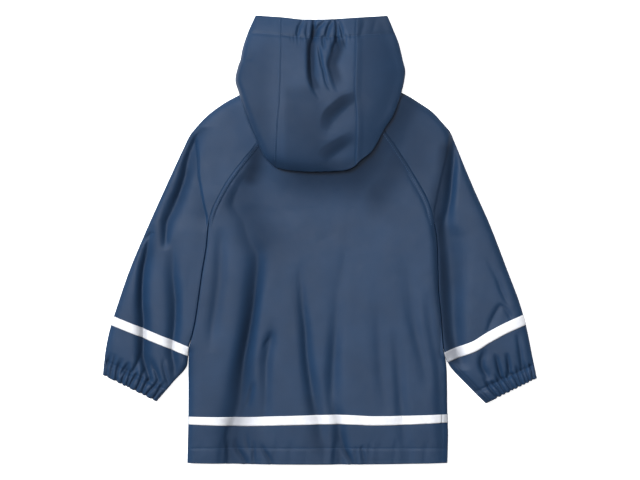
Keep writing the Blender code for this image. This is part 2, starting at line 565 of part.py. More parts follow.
def hood_side(name, side, edge_rows, seam_rows, shoulder):
    share = np.array(HOOD_ROWS)
    edge_share = share.copy()
    top, foot = 335.5, min(row[0] for row in edge_rows)
    edge_share[SHOULDER_ROW] = (top - shoulder - 1.6) / (top - foot)
    edge_share[SHOULDER_ROW + 1] = (top - shoulder + 1.6) / (top - foot)
    edge_y = top + (foot - top) * edge_share
    edge = np.stack([curve(edge_rows, edge_y), edge_y], -1)
    inward = way_in(edge) * (1 if side < 0 else -1)
    seam_x = float(curve(seam_rows, foot))
    rim_y = float(curve(RIM, curve(seam_rows, 335)))
    seam_y = rim_y + (foot + FOLD_DEPTH - rim_y) * share
    seam = np.stack([curve(seam_rows, seam_y) + side * HOOD_GAP / 2, seam_y], -1)
    inset = edge + FOLD_DEPTH * inward
    inset[-1] = seam[-1]
    edge[-1] = (seam_x + side * HOOD_GAP / 2, foot)
    columns = np.linspace(0, 1, 6)[None, :, None]
    upper = seam[:, None] * (1 - columns) + inset[:, None] * columns
    upper = np.concatenate([upper, hood_top(upper[..., 0], upper[..., 1])[..., None]], -1)
    walls = np.full(upper.shape[:2], WALL)
    walls[: CASING_ROW + 1] = HEM_WALL
    lows = np.where(np.arange(len(share)) <= SHOULDER_ROW, 0.0, nape_height(inset[:, 0], inset[:, 1]))
    strip = []
    for i in range(len(share)):
        out = (edge[i] - inset[i]) / max(np.linalg.norm(edge[i] - inset[i]), 1e-6)
        strip.append(turn(*edge[i], *out, upper[i, -1, 2], lows[i], 1, -1, FOLD_STEPS))
        strip[-1][0], strip[-1][-1] = upper[i, -1], [*inset[i], lows[i]]
    strip = np.array(strip)
    k = SHOULDER_ROW
    drop = BODY_ROWS[-1][0] - BODY_ROWS[-1][2]
    neck_x = np.array([55.0, 32.0, CHIN])
    neck_y = BODY_ROWS[-1][0] - drop * (1 - neck_x / 55) ** NECK_CURVE
    neck = np.concatenate([[[side * -NECK_SIDE[0], NECK_SIDE[1]]], np.stack([side * neck_x, neck_y], -1)])
    face = np.array([(side * -px, py) for px, py in FACE_EDGE], float)
    face[0] = edge[0] + (FOLD_DEPTH + 4.0) * inward[0]
    shift = np.array([-side * 0.4, 0.35])
    hem_share = np.linspace(0, 1, k + 1)
    face_y = np.interp(hem_share, np.linspace(0, 1, len(face)), face[:, 1])
    face_x = np.interp(hem_share, np.linspace(0, 1, len(face)), face[:, 0])
    lower = []
    for i in range(k + 1):
        start, end = inset[i], np.array([face_x[i], face_y[i]])
        top_knee = np.array([-side * FACE_KNEE[0], FACE_KNEE[1]], float)
        knee = top_knee + (neck[0] + (0, 1.8) - top_knee) * i / k
        if i == 0:
            knee = (start + end) / 2
        thirds = np.linspace(0, 1, 4)[:, None]
        row = np.concatenate([start + thirds * (knee - start), (knee + thirds * (end - knee))[1:]])
        if i == k:
            row[4:] = neck[1:] + shift
        lower.append(np.concatenate([row, np.zeros((7, 1))], 1))
    lower = np.array(lower)
    nape = []
    neck_point = np.array([side * 55 + side * HOOD_GAP / 2, 203.0])
    for i in range(k + 1, len(share)):
        t = (i - k - 1) / (len(share) - k - 2)
        start, end = inset[i], neck_point + (inset[-1] - neck_point) * t
        straight = start[None] + np.linspace(0, 1, 7)[:, None] * (end - start)[None]
        shoulder_run = inset[k + 1][None] + np.linspace(0, 1, 4)[:, None] * (neck[0] - inset[k + 1])[None]
        neck_run = neck[0][None] + np.linspace(0, 1, 4)[1:, None] * (neck_point - neck[0])[None]
        bent = np.concatenate([shoulder_run, neck_run])
        blend = (1 - t) ** 4
        row = straight * (1 - blend) + bent * blend
        row[0] = start
        heights = nape_height(row[:, 0], row[:, 1])
        nape.append(np.concatenate([row, heights[:, None]], 1))
    nape = np.array(nape)
    nape[0, 4:, 2] += 0.5 - LAY_GAP
    nape[:, 0, 2] = lows[k + 1 :]
    piece = Sheet()
    piece.grid(upper, walls)
    piece.grid(strip)
    piece.grid(lower)
    piece.grid(np.stack([lower[-1, :4], nape[0, :4]]))
    piece.grid(nape)
    piece.solid(name, NAVY)


hood_side("hood_side_left", -1, HOOD_LEFT, SEAM_LEFT, 217.0)
hood_side("hood_side_right", 1, HOOD_RIGHT, SEAM_RIGHT, 222.0)

share = np.linspace(0, 1, HOOD_COLUMNS + 1)
rows = np.array(HOOD_ROWS)
foot_left, foot_right = float(curve(SEAM_LEFT, 107)), float(curve(SEAM_RIGHT, 109))
foot_x = foot_left + HOOD_GAP / 2 + (foot_right - foot_left - HOOD_GAP) * share
foot_y = curve(HOOD_FOOT, foot_x)
foot_y[0], foot_y[-1] = 107, 109
grid = []
for f in rows:
    level_left = float(curve(RIM, -58)) + (107 + FOLD_DEPTH - float(curve(RIM, -58))) * f
    level_right = float(curve(RIM, 53)) + (109 + FOLD_DEPTH - float(curve(RIM, 53))) * f
    start = float(curve(SEAM_LEFT, level_left)) + HOOD_GAP / 2
    end = float(curve(SEAM_RIGHT, level_right)) - HOOD_GAP / 2
    x = start + (end - start) * share
    y = curve(RIM, x) + (foot_y + FOLD_DEPTH - curve(RIM, x)) * f
    grid.append(np.stack([x, y, hood_top(x, y)], -1))
upper = np.array(grid)
lower = []
for f in np.linspace(0, 1, 5):
    x = upper[-1, :, 0] + ((-55 + HOOD_GAP / 2) + (110 - HOOD_GAP) * share - upper[-1, :, 0]) * f
    y = upper[-1, :, 1] + (203 - 4 * (1 - np.abs(2 * share - 1) ** 2) - upper[-1, :, 1]) * f
    gap = LAY_GAP if f < 1 else 0.5
    lower.append(np.stack([x, y, nape_height(x, y, gap)], -1))
lower = np.array(lower)
strip = np.array(
    [
        turn(upper[-1, j, 0], upper[-1, j, 1] - FOLD_DEPTH, 0, -1, upper[-1, j, 2], lower[0, j, 2], 1, -1, FOLD_STEPS)
        for j in range(HOOD_COLUMNS + 1)
    ]
).transpose(1, 0, 2)
whole = np.concatenate([upper[:-1], strip, lower[1:]])
walls = np.full(whole.shape[:2], WALL)
walls[: CASING_ROW + 1] = HEM_WALL
centre = Sheet()
centre.grid(whole, walls)
centre.solid("hood_centre", NAVY)
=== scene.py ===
"""A child's raincoat of navy coated cloth, lying with its back up: the fine shells, seams, stitches, tapes
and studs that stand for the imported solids. X runs across the coat, Y from hem to hood and Z up from the
floor. Shapes are worked out in millimetres and become metres when a mesh is made."""

import bpy
import numpy as np
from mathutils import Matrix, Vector


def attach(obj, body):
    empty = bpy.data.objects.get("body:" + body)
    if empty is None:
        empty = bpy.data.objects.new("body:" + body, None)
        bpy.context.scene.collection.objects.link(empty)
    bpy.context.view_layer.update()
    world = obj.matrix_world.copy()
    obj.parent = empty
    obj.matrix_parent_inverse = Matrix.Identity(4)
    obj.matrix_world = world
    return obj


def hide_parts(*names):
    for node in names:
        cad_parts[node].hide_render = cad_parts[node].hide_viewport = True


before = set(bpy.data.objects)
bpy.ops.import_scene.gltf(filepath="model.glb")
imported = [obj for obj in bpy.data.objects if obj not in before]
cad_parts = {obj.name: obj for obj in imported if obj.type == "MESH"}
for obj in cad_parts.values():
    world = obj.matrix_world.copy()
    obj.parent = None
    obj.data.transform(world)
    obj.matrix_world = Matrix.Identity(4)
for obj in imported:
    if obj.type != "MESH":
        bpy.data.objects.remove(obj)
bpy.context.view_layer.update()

MM = 0.001

# Cloth and seams
WALL = 1.2
HEM_WALL = 2.2
SEAM_GAP = 0.06
HOOD_GAP = 0.02
TAPE_GAP = 0.3
TAPE_WALL = 0.6
TAPE_RISE = TAPE_GAP + TAPE_WALL
LAY_GAP = 1.5
FOLD_DEPTH = 4.0  # of the rounding below a folded edge
TOP_DEPTH = 0.7  # and of the one above it
TURN_STEPS = 12  # steps round a folded edge
WELD_SHIFT = 0.0013  # keeps points off the values where rounding to 0.01 turns
CREASE_POWER = 1.6  # of a crease's section: 2 is a bell, more is flatter at the floor

# Loft: the upper layer starts EDGE_HEIGHT high at a folded edge and rises by LOFT
EDGE_HEIGHT = 13.0
LOFT = 5.0
OUTER_RUN = 5.0  # how fast it rises from the outline
INNER_RUN = 3.0  # and from the line where sleeve and body meet, which is already this far up:
INNER_START = 1.6

# Outlines as (y, x)
OUTER_LEFT = [
    (233, -81), (216, -121.5), (203, -145.5), (185, -169.7), (172, -182.3), (155, -196), (137, -204.8),
    (95, -224.2), (47, -246), (-1, -267.2), (-49, -287), (-97, -303.5), (-139, -316.5), (-169, -322.3),
    (-203, -326),
]
OUTER_RIGHT = [
    (233, 81), (221, 119), (203, 151), (191, 168.2), (173, 184.8), (161, 195), (149, 200.4),
    (119, 212.4), (71, 232.6), (23, 254), (-49, 281.7), (-97, 299.6), (-133, 309.6), (-181, 319.3),
    (-208, 325),
]
INNER_LEFT = [
    (203, -55), (174, -75), (144, -95), (117, -117), (89, -138), (65, -152), (42, -162.5), (23, -167),
    (-10, -170), (-50, -176.5), (-94, -182.5), (-121, -186.5), (-144, -191.5), (-162, -197),
    (-187, -199), (-215, -221), (-243, -245),
]
INNER_RIGHT = [
    (203, 55), (163, 95), (124, 123), (90, 144), (59, 161), (33, 169), (-10, 175.4), (-73, 177.2),
    (-110, 180.6), (-136, 182.6), (-166, 185.2), (-186, 192), (-222, 223.6), (-246, 247.8),
]
SIDE_LEFT = [
    (23, -166.8), (-94, -182.5), (-144, -191.5), (-162, -196.4), (-187, -197.6), (-264, -198),
    (-335, -199.5),
]
SIDE_RIGHT = [
    (23, 170.4), (-10, 175.2), (-73, 177), (-136, 182.4), (-166, 185), (-186, 189), (-205, 190.2),
    (-264, 191), (-292, 192), (-335, 191),
]
SIDE_DEPTH = 1.0  # of the rounding where body and sleeve lie against each other
# The neck's slack lifts the coat by MOUND along a line under the hood, fading over MOUND_RUN
MOUND, MOUND_RUN = 5.5, 32.0
MOUND_LINE = [(-104, 205), (-90, 162), (-50, 116), (46, 116), (88, 162), (104, 205)]
UNDERARM = 23.0
NECK, NECK_FRONT, NECK_HALF = 203.0, 172.0, 55.0  # neckline: y at the back and in front, and x at the side
HEM = -335.0
HEM_STITCH = -313.0
NECK_ROWS = [  # (side, middle of the back, front edge)
    (HEM, HEM - 2.2, HEM), (23, 23, 23), (59, 58, 54), (95, 93, 84), (131, 128, 114), (167, 163, 144),
    (203, 199, 172),
]
NECK_CURVE = 0.9
SIDE_SEAM_UNDER = 6.0
SIDE_SEAM_OVER = 9.0
LAP, FLAP_RISE = 15.0, 1.5
LAP_RISE = FLAP_RISE + HEM_WALL + 0.4
STUD_FIRST, STUD_STEP, STUDS = 155.0, -98.0, 5

# Sleeve stations (y at the inner edge, y at the outer one) from neck to cuff rim
SLEEVE_LEFT = [
    (203, 233), (167, 219), (131, 198), (95, 166), (59, 114), (23, 52), (12, 40), (-32, 2), (-76, -37),
    (-119, -77), (-161, -115), (-175, -128), (-193, -146), (-211, -163), (-222, -176), (-227, -183.5),
    (-235, -193.5), (-243, -203),
]
SLEEVE_RIGHT = [
    (203, 233), (167, 222), (131, 201), (95, 168), (59, 114), (23, 52), (12, 40), (-32, 2), (-78, -37),
    (-124, -77), (-169, -113), (-184, -128), (-200, -150), (-216, -170), (-226, -184), (-231, -190),
    (-239, -199), (-246, -208),
]
TAPE_STATIONS = (10, 11)
CUFF_DEPTH = 21.0  # from the cuff's rim to the stitch line of its casing
SLEEVE_ROWS, CUFF_ROWS = 205, 26  # rows of points down to the cuff's gathers, and down to its rim
TOP_COLUMNS, MIDDLE_COLUMN, UNDER_COLUMNS = 76, 35, 26  # columns across the upper side, and underneath
UNDER_GATHERS = 9

# Hood
RIM = [(-96, 335.5), (-58, 332.5), (-22, 329), (0, 329), (32, 330.5), (53, 332), (101, 335.5)]
HOOD_LEFT = [
    (335.5, -97), (308, -109), (281, -117.3), (269, -119.3), (257, -123.4), (238, -127), (218, -121.5),
    (192, -113), (165, -103), (146, -94), (120, -81), (107, -67),
]
HOOD_RIGHT = [
    (335.5, 101), (317, 108.7), (293, 118.2), (270, 123.7), (251, 127.8), (237, 126), (222, 122.5),
    (183, 108), (165, 96), (131, 77), (117, 60), (109, 52),
]
HOOD_FOOT = [(-67, 107), (-49, 103), (-9, 100.5), (32, 102), (45, 105), (52, 109)]
SEAM_LEFT = [(335, -58), (305, -58), (209, -60), (171, -63), (107, -66)]
SEAM_RIGHT = [(335, 53), (305, 53), (225, 51), (171, 54), (107, 52)]
NECK_SIDE = (-81, 233)
CHIN = 9.0
FACE_EDGE = [(-96, 335.5), (-66, 296), (-40, 252), (-20, 212), (-9, 176)]
FACE_KNEE = (-88, 328)
HOOD_LEFT_TOP = [(335, 14), (300, 19), (250, 26), (222, 29), (180, 32), (140, 32), (100, 29)]
HOOD_RIGHT_TOP = [(335, 8.5), (300, 9.5), (250, 14), (222, 21), (180, 26), (140, 28), (100, 29)]
HOOD_CROWN = [(335, 15), (305, 24), (260, 35), (225, 41), (190, 43.5), (160, 43), (130, 41.5), (100, 40.5)]
HOOD_RUN_LEFT, HOOD_RUN_RIGHT, HOOD_RUN_FOOT = 3.5, 45.0, 14.0  # how fast it rises from each edge
CASING = 28.0  # depth of the casing at the hood's rim
HOOD_TOP_Y, HOOD_FOOT_LEFT, HOOD_FOOT_RIGHT = 335.5, 107, 109  # its sides' upper and lower ends
NAPE_GAP = 0.5  # above the back, where the hood meets the neck seam
HOOD_ROWS, HOOD_LENGTH = 112, 228  # rows of points down a side, and the middle panel from rim to foot


# Shapes -------------------------------------------------------------------------------------------


def curve(rows, at):
    """Smooth value of a table of (key, value): a cubic through its points that never overshoots, with the
    harmonic mean of the slopes on both sides of a point, or none where they differ in sign."""
    rows = np.array(rows, float)
    keys, values = rows[np.argsort(rows[:, 0])].T
    step = np.diff(values) / np.diff(keys)
    before, after = np.append(step[0], step), np.append(step, step[-1])
    level = before * after <= 0
    slope = np.where(level, 0, 2 * before * after / np.where(level, 1, before + after))
    at = np.clip(np.asarray(at, float), keys[0], keys[-1])
    i = np.clip(np.searchsorted(keys, at) - 1, 0, len(keys) - 2)
    run = keys[i + 1] - keys[i]
    t = (at - keys[i]) / run
    start = values[i] * (1 + 2 * t) * (1 - t) ** 2 + slope[i] * run * t * (1 - t) ** 2
    return start + values[i + 1] * t * t * (3 - 2 * t) + slope[i + 1] * run * t * t * (t - 1)


def ease(t):
    """0 below 0, 1 above 1, and three t squared less two t cubed between."""
    t = np.clip(t, 0, 1)
    return t * t * (3 - 2 * t)


def bump(t, width):
    """One at t = 0, falling as a bell of that width."""
    return np.exp(-((t / width) ** 2))


def unit(vectors):
    """The same vectors at length 1."""
    return vectors / np.maximum(np.linalg.norm(vectors, axis=-1, keepdims=True), 1e-9)


def lengths(points):
    """How far along its line each point lies."""
    return np.concatenate([[0], np.cumsum(np.linalg.norm(np.diff(points, axis=0), axis=1))])


def at_points(at, keys, points):
    """Places on straight stretches between points, by their keys."""
    return np.stack([np.interp(at, keys, points[:, i]) for i in (0, 1)], -1)


def mixed(start, end, share):
    """Rows of points from each start towards its end, by shares."""
    return start[:, None] + share[..., None] * (end - start)[:, None]


def ring_faces(index):
    """Four-sided faces between neighbouring rings; index is (..., rings, points round)."""
    after = np.roll(index, -1, -1)
    sides = [index[..., :-1, :], after[..., :-1, :], after[..., 1:, :], index[..., 1:, :]]
    return np.stack(sides, -1).reshape(-1, 4)


def nearest(x, y, line):
    """Distance to a line of (x, y) points, how far along it the nearest point lies, and the side it lies
    on."""
    best = np.full(np.shape(x), 1e9)
    along = np.zeros(np.shape(x))
    sign = np.ones(np.shape(x))
    run = 0.0
    for (ax, ay), (bx, by) in zip(line[:-1], line[1:]):
        length = np.hypot(bx - ax, by - ay)
        t = np.clip(((x - ax) * (bx - ax) + (y - ay) * (by - ay)) / length**2, 0, 1)
        distance = np.hypot(x - ax - t * (bx - ax), y - ay - t * (by - ay))
        closer = distance < best
        along = np.where(closer, run + t * length, along)
        sign = np.where(closer, np.sign((bx - ax) * (y - ay) - (by - ay) * (x - ax)), sign)
        best = np.minimum(best, distance)
        run += length
    return best, along, sign


def outline(rows, low, high, steps=24):
    """Points (x, y) along an outline table from the upper height to the lower one."""
    keys = np.linspace(high, low, steps)
    return list(zip(curve(rows, keys), keys))


def smooth_line(points, steps=24):
    """The same points joined by a smooth curve over their own length."""
    points = np.array(points, float)
    along = lengths(points)
    at = np.linspace(0, along[-1], steps)
    return list(zip(*(curve(list(zip(along, points[:, k])), at) for k in (0, 1))))


def troughs(x, y, table):
    """Sum of soft folds that run down the coat. Each row of one is (y, x, left, right, depth): where its
    left wall is steepest, the width of its two sides and its depth, all joined smoothly. Its section is
    -depth * exp(-|s / width| ** power), with s measured from the floor of the fold."""
    total = np.zeros(np.shape(x))
    for power, rows in table:
        rows = np.array(rows, float)
        at = [curve(rows[:, (0, k)], y) for k in range(1, 5)]
        lean = curve(rows[:, (0, 1)], y + 1) - curve(rows[:, (0, 1)], y - 1)
        steepest = (1 - 1 / power) ** (1 / power)
        s = (x - at[0]) / np.sqrt(1 + (lean / 2) ** 2) - steepest * at[1]
        width = np.maximum(np.where(s < 0, at[1], at[2]), 1.5)
        inside = (y > rows[:, 0].min()) & (y < rows[:, 0].max())
        total -= np.where(inside, at[3], 0) * np.exp(-np.abs(s / width) ** power)
    return total


def value_along(x, y, points):
    """For points (x, y, value): the value at the nearest place of the smooth line through them, and the
    distance to that line, positive on its left hand."""
    points = np.array(points, float)
    line = smooth_line(points[:, :2])
    spans = np.hypot(*np.diff(np.array(line), axis=0).T)
    length = lengths(points[:, :2])
    distance, along, hand = nearest(x, y, line)
    return curve(list(zip(length / length[-1], points[:, 2])), along / spans.sum()), distance * hand


def creases(x, y, table):
    """Sum of folds along lines. Each row is (points, before, after): points are (x, y, depth) joined
    smoothly, before and after the widths on the line's right and left hand. The line marks the steepest
    place of the wall before its floor, and the section is -depth * exp(-|s / width| ** CREASE_POWER), with
    s measured from the floor."""
    total = np.zeros(np.shape(x))
    steepest = (1 - 1 / CREASE_POWER) ** (1 / CREASE_POWER)
    for points, before, after in table:
        depth, s = value_along(x, y, points)
        s = s - steepest * before
        total -= depth * np.exp(-np.abs(s / np.where(s < 0, before, after)) ** CREASE_POWER)
    return total


def side_x(y, sign):
    """Where a side's folded edge lies: just inside the sleeve's inner edge where the sleeve touches it,
    else free."""
    inner, free = (INNER_LEFT, SIDE_LEFT) if sign < 0 else (INNER_RIGHT, SIDE_RIGHT)
    share = ease((-128 - np.asarray(y, float)) / 34)
    return curve(inner, y) * (1 - share) + curve(free, y) * share


def side_line(sign, low, high, steps=24):
    """Points (x, y) along a side's edge from the upper height to the lower one."""
    keys = np.linspace(high, low, steps)
    return list(zip(side_x(keys, sign), keys))


OUTER_EDGES = [
    outline(OUTER_LEFT, -203, 233), outline(OUTER_RIGHT, -208, 233),
    side_line(-1, -335, -170), side_line(1, -335, -180),
    outline(INNER_LEFT, -243, -190), outline(INNER_RIGHT, -246, -190),
]
INNER_EDGES = [
    outline(INNER_LEFT, -190, UNDERARM), outline(INNER_RIGHT, -190, UNDERARM),
    side_line(-1, -170, UNDERARM), side_line(1, -180, UNDERARM),
]


def mound(x, y):
    """MOUND * exp(-(distance / MOUND_RUN) squared), with the distance to MOUND_LINE."""
    return MOUND * bump(nearest(x, y, MOUND_LINE)[0], MOUND_RUN)


def painted_hollow_shade(x, y, table):
    """Share of painted shade in broad, shallow hollows: the greatest of the table's soft lines at each place.
    """
    return np.max([share * bump(nearest(x, y, line)[0], reach) for line, reach, share in table], axis=0)


# Painted shade in broad, shallow hollows of the back
BACK_PAINTED_SHADE = [  # (line, reach, share of painted shade)
    ([(-112, 62), (-100, 30), (-86, 0)], 30.0, 0.5),
    ([(-96, 130), (-100, 108), (-106, 92)], 16.0, 1.0),
    ([(84, 70), (108, 100), (122, 140)], 26.0, 0.62),
    ([(-117, -212), (-117, -250), (-126, -285), (-129, -312)], 9.0, 0.6),
    ([(173, 70), (176, 20), (177.5, -73), (181, -120), (183, -168)], 9.0, 0.62),
    ([(-14, -240), (-8, -290), (-4, -310)], 11.0, 0.44),
]
# Painted shade in broad hollows of each sleeve
LEFT_PAINTED_SHADE = [([(-258, -30), (-242, 0), (-236, 24)], 9.0, 0.2)]
RIGHT_PAINTED_SHADE = [
    ([(189, 134), (186, 95), (178, 66), (172, 41), (180, 10), (184, -40), (187, -90), (192, -150),
      (200, -178)], 13.0, 0.8),
    ([(150, 160), (140, 120)], 34.0, 0.32),
]


def painted_hood_shadow(x, y):
    """Share of painted shadow close to the pouch, along the hood's right edge and in the corner left of the
    hood, where little light comes in.
    """
    foot = bump(nearest(x, y, [(-14, 104), (50, 104), (66, 120)])[0], 42.0)
    side = bump(nearest(x, y, [(66, 120), (100, 160), (130, 222)])[0], 34.0)
    corner = bump(nearest(x, y, [(-120, 98), (-109, 60)])[0], 15.0)
    return np.max([0.83 * foot, 0.72 * side, 0.5 * corner * (x > curve(INNER_LEFT, y) + 8)], axis=0)


def coat_top(x, y):
    """Height of the upper layer before its folds: low at each folded edge, rising as 1 - exp(-distance /
    run)."""
    outer = np.min([nearest(x, y, edge)[0] for edge in OUTER_EDGES], axis=0) / OUTER_RUN
    inner = np.min([nearest(x, y, edge)[0] for edge in INNER_EDGES], axis=0) / INNER_RUN
    return EDGE_HEIGHT + LOFT * (1 - np.exp(-np.minimum(outer, INNER_START + inner))) + mound(x, y)


class Cloth:
    """A piece of cloth: grids of points on its outer side, welded where they meet, then given a wall along
    normals."""

    def __init__(self):
        self.points, self.walls, self.faces, self.dark, self.count = [], [], [], [], 0

    # dark is each point's share of painted shade
    def grid(self, points, walls=WALL, dark=0.0):
        rows, columns = points.shape[:2]
        index = np.arange(rows * columns).reshape(rows, columns) + self.count
        self.points.append(points.reshape(-1, 3))
        self.walls.append(np.broadcast_to(np.asarray(walls, float), (rows, columns)).reshape(-1))
        self.dark.append(np.broadcast_to(np.asarray(dark, float), (rows, columns)).reshape(-1))
        self.count += rows * columns
        a, b, c, d = index[:-1, :-1], index[:-1, 1:], index[1:, 1:], index[1:, :-1]
        self.faces += [np.stack([a, b, c], -1).reshape(-1, 3), np.stack([a, c, d], -1).reshape(-1, 3)]

    def piece(self, name, material, outward=(0, 0, 1)):
        """Welds points that round to the same 0.01 mm, takes each point's mean facing, sets the inner side
        one wall back along it and closes every open edge with a strip. outward is the side that the first
        face looks to."""
        points, walls, dark = (np.concatenate(part) for part in (self.points, self.walls, self.dark))
        faces = np.concatenate(self.faces)
        rounded = np.round(points + WELD_SHIFT, 2)
        _, first, index = np.unique(rounded, axis=0, return_index=True, return_inverse=True)
        points, walls, dark, faces = points[first], walls[first], dark[first], index.reshape(-1)[faces]
        whole = (faces[:, 0] != faces[:, 1]) & (faces[:, 1] != faces[:, 2]) & (faces[:, 0] != faces[:, 2])
        faces = faces[whole]
        corner = points[faces]
        facing = np.cross(corner[:, 1] - corner[:, 0], corner[:, 2] - corner[:, 0])
        if facing[0] @ np.array(outward, float) < 0:
            faces, facing = faces[:, ::-1], -facing
        normal = np.zeros_like(points)
        for k in range(3):
            np.add.at(normal, faces[:, k], facing)
        inner = points - unit(normal) * walls[:, None]
        inner[:, 2] = np.maximum(inner[:, 2], 0.0)  # no wall reaches below the surface that the coat lies on
        n = len(points)
        ends = np.concatenate([faces[:, [0, 1]], faces[:, [1, 2]], faces[:, [2, 0]]])
        keys, back = ends[:, 0] * n + ends[:, 1], ends[:, 1] * n + ends[:, 0]
        a, b = ends[~np.isin(keys, back)].T
        strips = [np.stack([b, a, a + n], -1), np.stack([b, a + n, b + n], -1)]
        return made(
            name,
            np.concatenate([points, inner]),
            np.concatenate([faces, faces[:, ::-1] + n] + strips),
            material,
            dark=np.concatenate([dark, dark]),
        )


def made(name, points, faces, material, dark=None):
    """Makes the mesh object from arrays in millimetres, smooth, riding on the one body."""
    mesh = bpy.data.meshes.new(name)
    mesh.vertices.add(len(points))
    mesh.vertices.foreach_set("co", (points * MM).astype(np.float32).ravel())
    size = faces.shape[1]
    mesh.loops.add(faces.size)
    mesh.loops.foreach_set("vertex_index", faces.astype(np.int32).ravel())
    mesh.polygons.add(len(faces))
    mesh.polygons.foreach_set("loop_start", np.arange(0, faces.size, size, dtype=np.int32))
    mesh.polygons.foreach_set("use_smooth", np.ones(len(faces), bool))
    mesh.update(calc_edges=True)
    mesh.validate()
    if dark is not None:
        # The fold attribute holds each point's share of painted shade
        layer = mesh.attributes.new("fold", "FLOAT", "POINT")
        layer.data.foreach_set("value", dark.astype(np.float32))
    mesh.materials.append(material)
    thing = bpy.data.objects.new(name, mesh)
    bpy.context.scene.collection.objects.link(thing)
    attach(thing, "root")
    return thing


def side_depth(y):
    """How deep the rounding of a side or of a sleeve's inner edge is: SIDE_DEPTH where they touch, else
    FOLD_DEPTH."""
    return SIDE_DEPTH + (FOLD_DEPTH - SIDE_DEPTH) * ease((-150 - y) / 25)


def turn(edge, way, top, low, start, end, steps, depth=FOLD_DEPTH):
    """Points round a folded edge for each row: two quarter ellipses from angle start to end, where 1 is the
    top, 0 the tip and -1 the underside. They are TOP_DEPTH deep above the tip and depth below it. edge is
    (rows, 2), way the same or one pair, top, low and depth one number a row."""
    angle = np.linspace(start, end, steps + 1)[None, :] * np.pi / 2
    depth = np.broadcast_to(depth, np.shape(top))[:, None]
    out = np.where(angle > 0, TOP_DEPTH, depth) * (np.cos(angle) - 1)
    middle, half = (top + low)[:, None] / 2, (top - low)[:, None] / 2
    flat = edge[:, None, :] + np.reshape(way, (-1, 1, 2)) * out[..., None]
    return np.concatenate([flat, (middle + half * np.sin(angle))[..., None]], -1)


def with_height(flat, height):
    """Adds to (..., 2) points their heights: numbers, or a function of x and y."""
    z = height(flat[..., 0], flat[..., 1]) if callable(height) else np.broadcast_to(height, flat.shape[:-1])
    return np.concatenate([flat, z[..., None]], -1)


# Materials ----------------------------------------------------------------------------------------


def linear(code):
    """The linear colour of an sRGB hex code."""
    part = [int(code[i : i + 2], 16) / 255 for i in (1, 3, 5)]
    return tuple(c / 12.92 if c <= 0.04045 else ((c + 0.055) / 1.055) ** 2.4 for c in part) + (1.0,)


def node(tree, kind, settings=None, links=None):
    """Adds a node: settings are its properties and, by socket name or number, its inputs' values; links
    join inputs."""
    new = tree.nodes.new(kind)
    for key, value in (settings or {}).items():
        if isinstance(key, int) or key in new.inputs:
            new.inputs[key].default_value = value
        else:
            setattr(new, key, value)
    for key, source in (links or {}).items():
        tree.links.new(source, new.inputs[key])
    return new


def noise(tree, place, size, detail, roughness=0.5):
    """Share of a noise whose largest features are that size, in metres."""
    settings = {"Scale": 1 / size, "Detail": detail, "Roughness": roughness}
    return node(tree, "ShaderNodeTexNoise", settings, {"Vector": place}).outputs["Fac"]


def spread(tree, value, low, high, to_low=0.0, to_high=1.0):
    """The stretch of a value from low to high, spread over another one and cut off at its ends."""
    settings = {"From Min": low, "From Max": high, "To Min": to_low, "To Max": to_high}
    return node(tree, "ShaderNodeMapRange", settings, {"Value": value}).outputs[0]


def relief(tree, height, strength, distance, **under):
    """The facing that a bump gives, over another one where under names it."""
    settings = {"Strength": strength, "Distance": distance}
    return node(tree, "ShaderNodeBump", settings, {"Height": height, **under}).outputs["Normal"]


def between(tree, low, high, share):
    """A colour between two sRGB hex codes, by a share."""
    mix = {"data_type": "RGBA", 6: linear(low), 7: linear(high)}
    return node(tree, "ShaderNodeMix", mix, {0: share}).outputs[2]


def material(name, values):
    """A new material with these values of its Principled shader, that tree and shader, and object
    coordinates."""
    new = bpy.data.materials.new(name)
    new.use_nodes = True
    tree = new.node_tree
    shader = tree.nodes["Principled BSDF"]
    for key, value in values.items():
        shader.inputs[key].default_value = value
    return new, tree, shader, tree.nodes.new("ShaderNodeTexCoord").outputs["Object"]


def with_painted_shade(tree, shader, tone, dark):
    """Joins a tone to the base colour, mixed towards the colour dark by the fold attribute, which holds each
    point's share of painted shade. Returns that share."""
    fold = node(tree, "ShaderNodeAttribute", {"attribute_name": "fold"}).outputs["Fac"]
    shade = node(tree, "ShaderNodeMix", {"data_type": "RGBA", 7: linear(dark)}, {0: fold, 6: tone})
    tree.links.new(shade.outputs[2], shader.inputs["Base Color"])
    return fold


def coated_cloth():
    """Polyester knit with a matt polyurethane coat: a soft broad sheen, a fine pebbled grain and slow
    dapples."""
    values = {"IOR": 1.46, "Specular IOR Level": 0.38}
    new, tree, shader, place = material("polyurethane_coated_knit", values)
    dapple = spread(tree, noise(tree, place, 0.055, 3.0), 0.3, 0.7)
    # Painted shade: the fold attribute mixes the colour towards #0B1C30 in folds, hollows and under the hood
    fold = with_painted_shade(tree, shader, between(tree, "#162C46", "#19314D", dapple), "#0B1C30")
    rough = spread(tree, noise(tree, place, 0.018, 2.0), 0.3, 0.7, 0.46, 0.52)
    dull = node(tree, "ShaderNodeMath", {"operation": "MULTIPLY_ADD", 1: 0.25}, {0: fold, 2: rough})
    tree.links.new(dull.outputs[0], shader.inputs["Roughness"])
    soft = relief(tree, noise(tree, place, 0.014, 2.0), 1.0, 0.00022)
    pebble = relief(tree, noise(tree, place, 0.0016, 2.0, 0.6), 0.5, 0.00012, Normal=soft)
    tree.links.new(pebble, shader.inputs["Normal"])
    return new


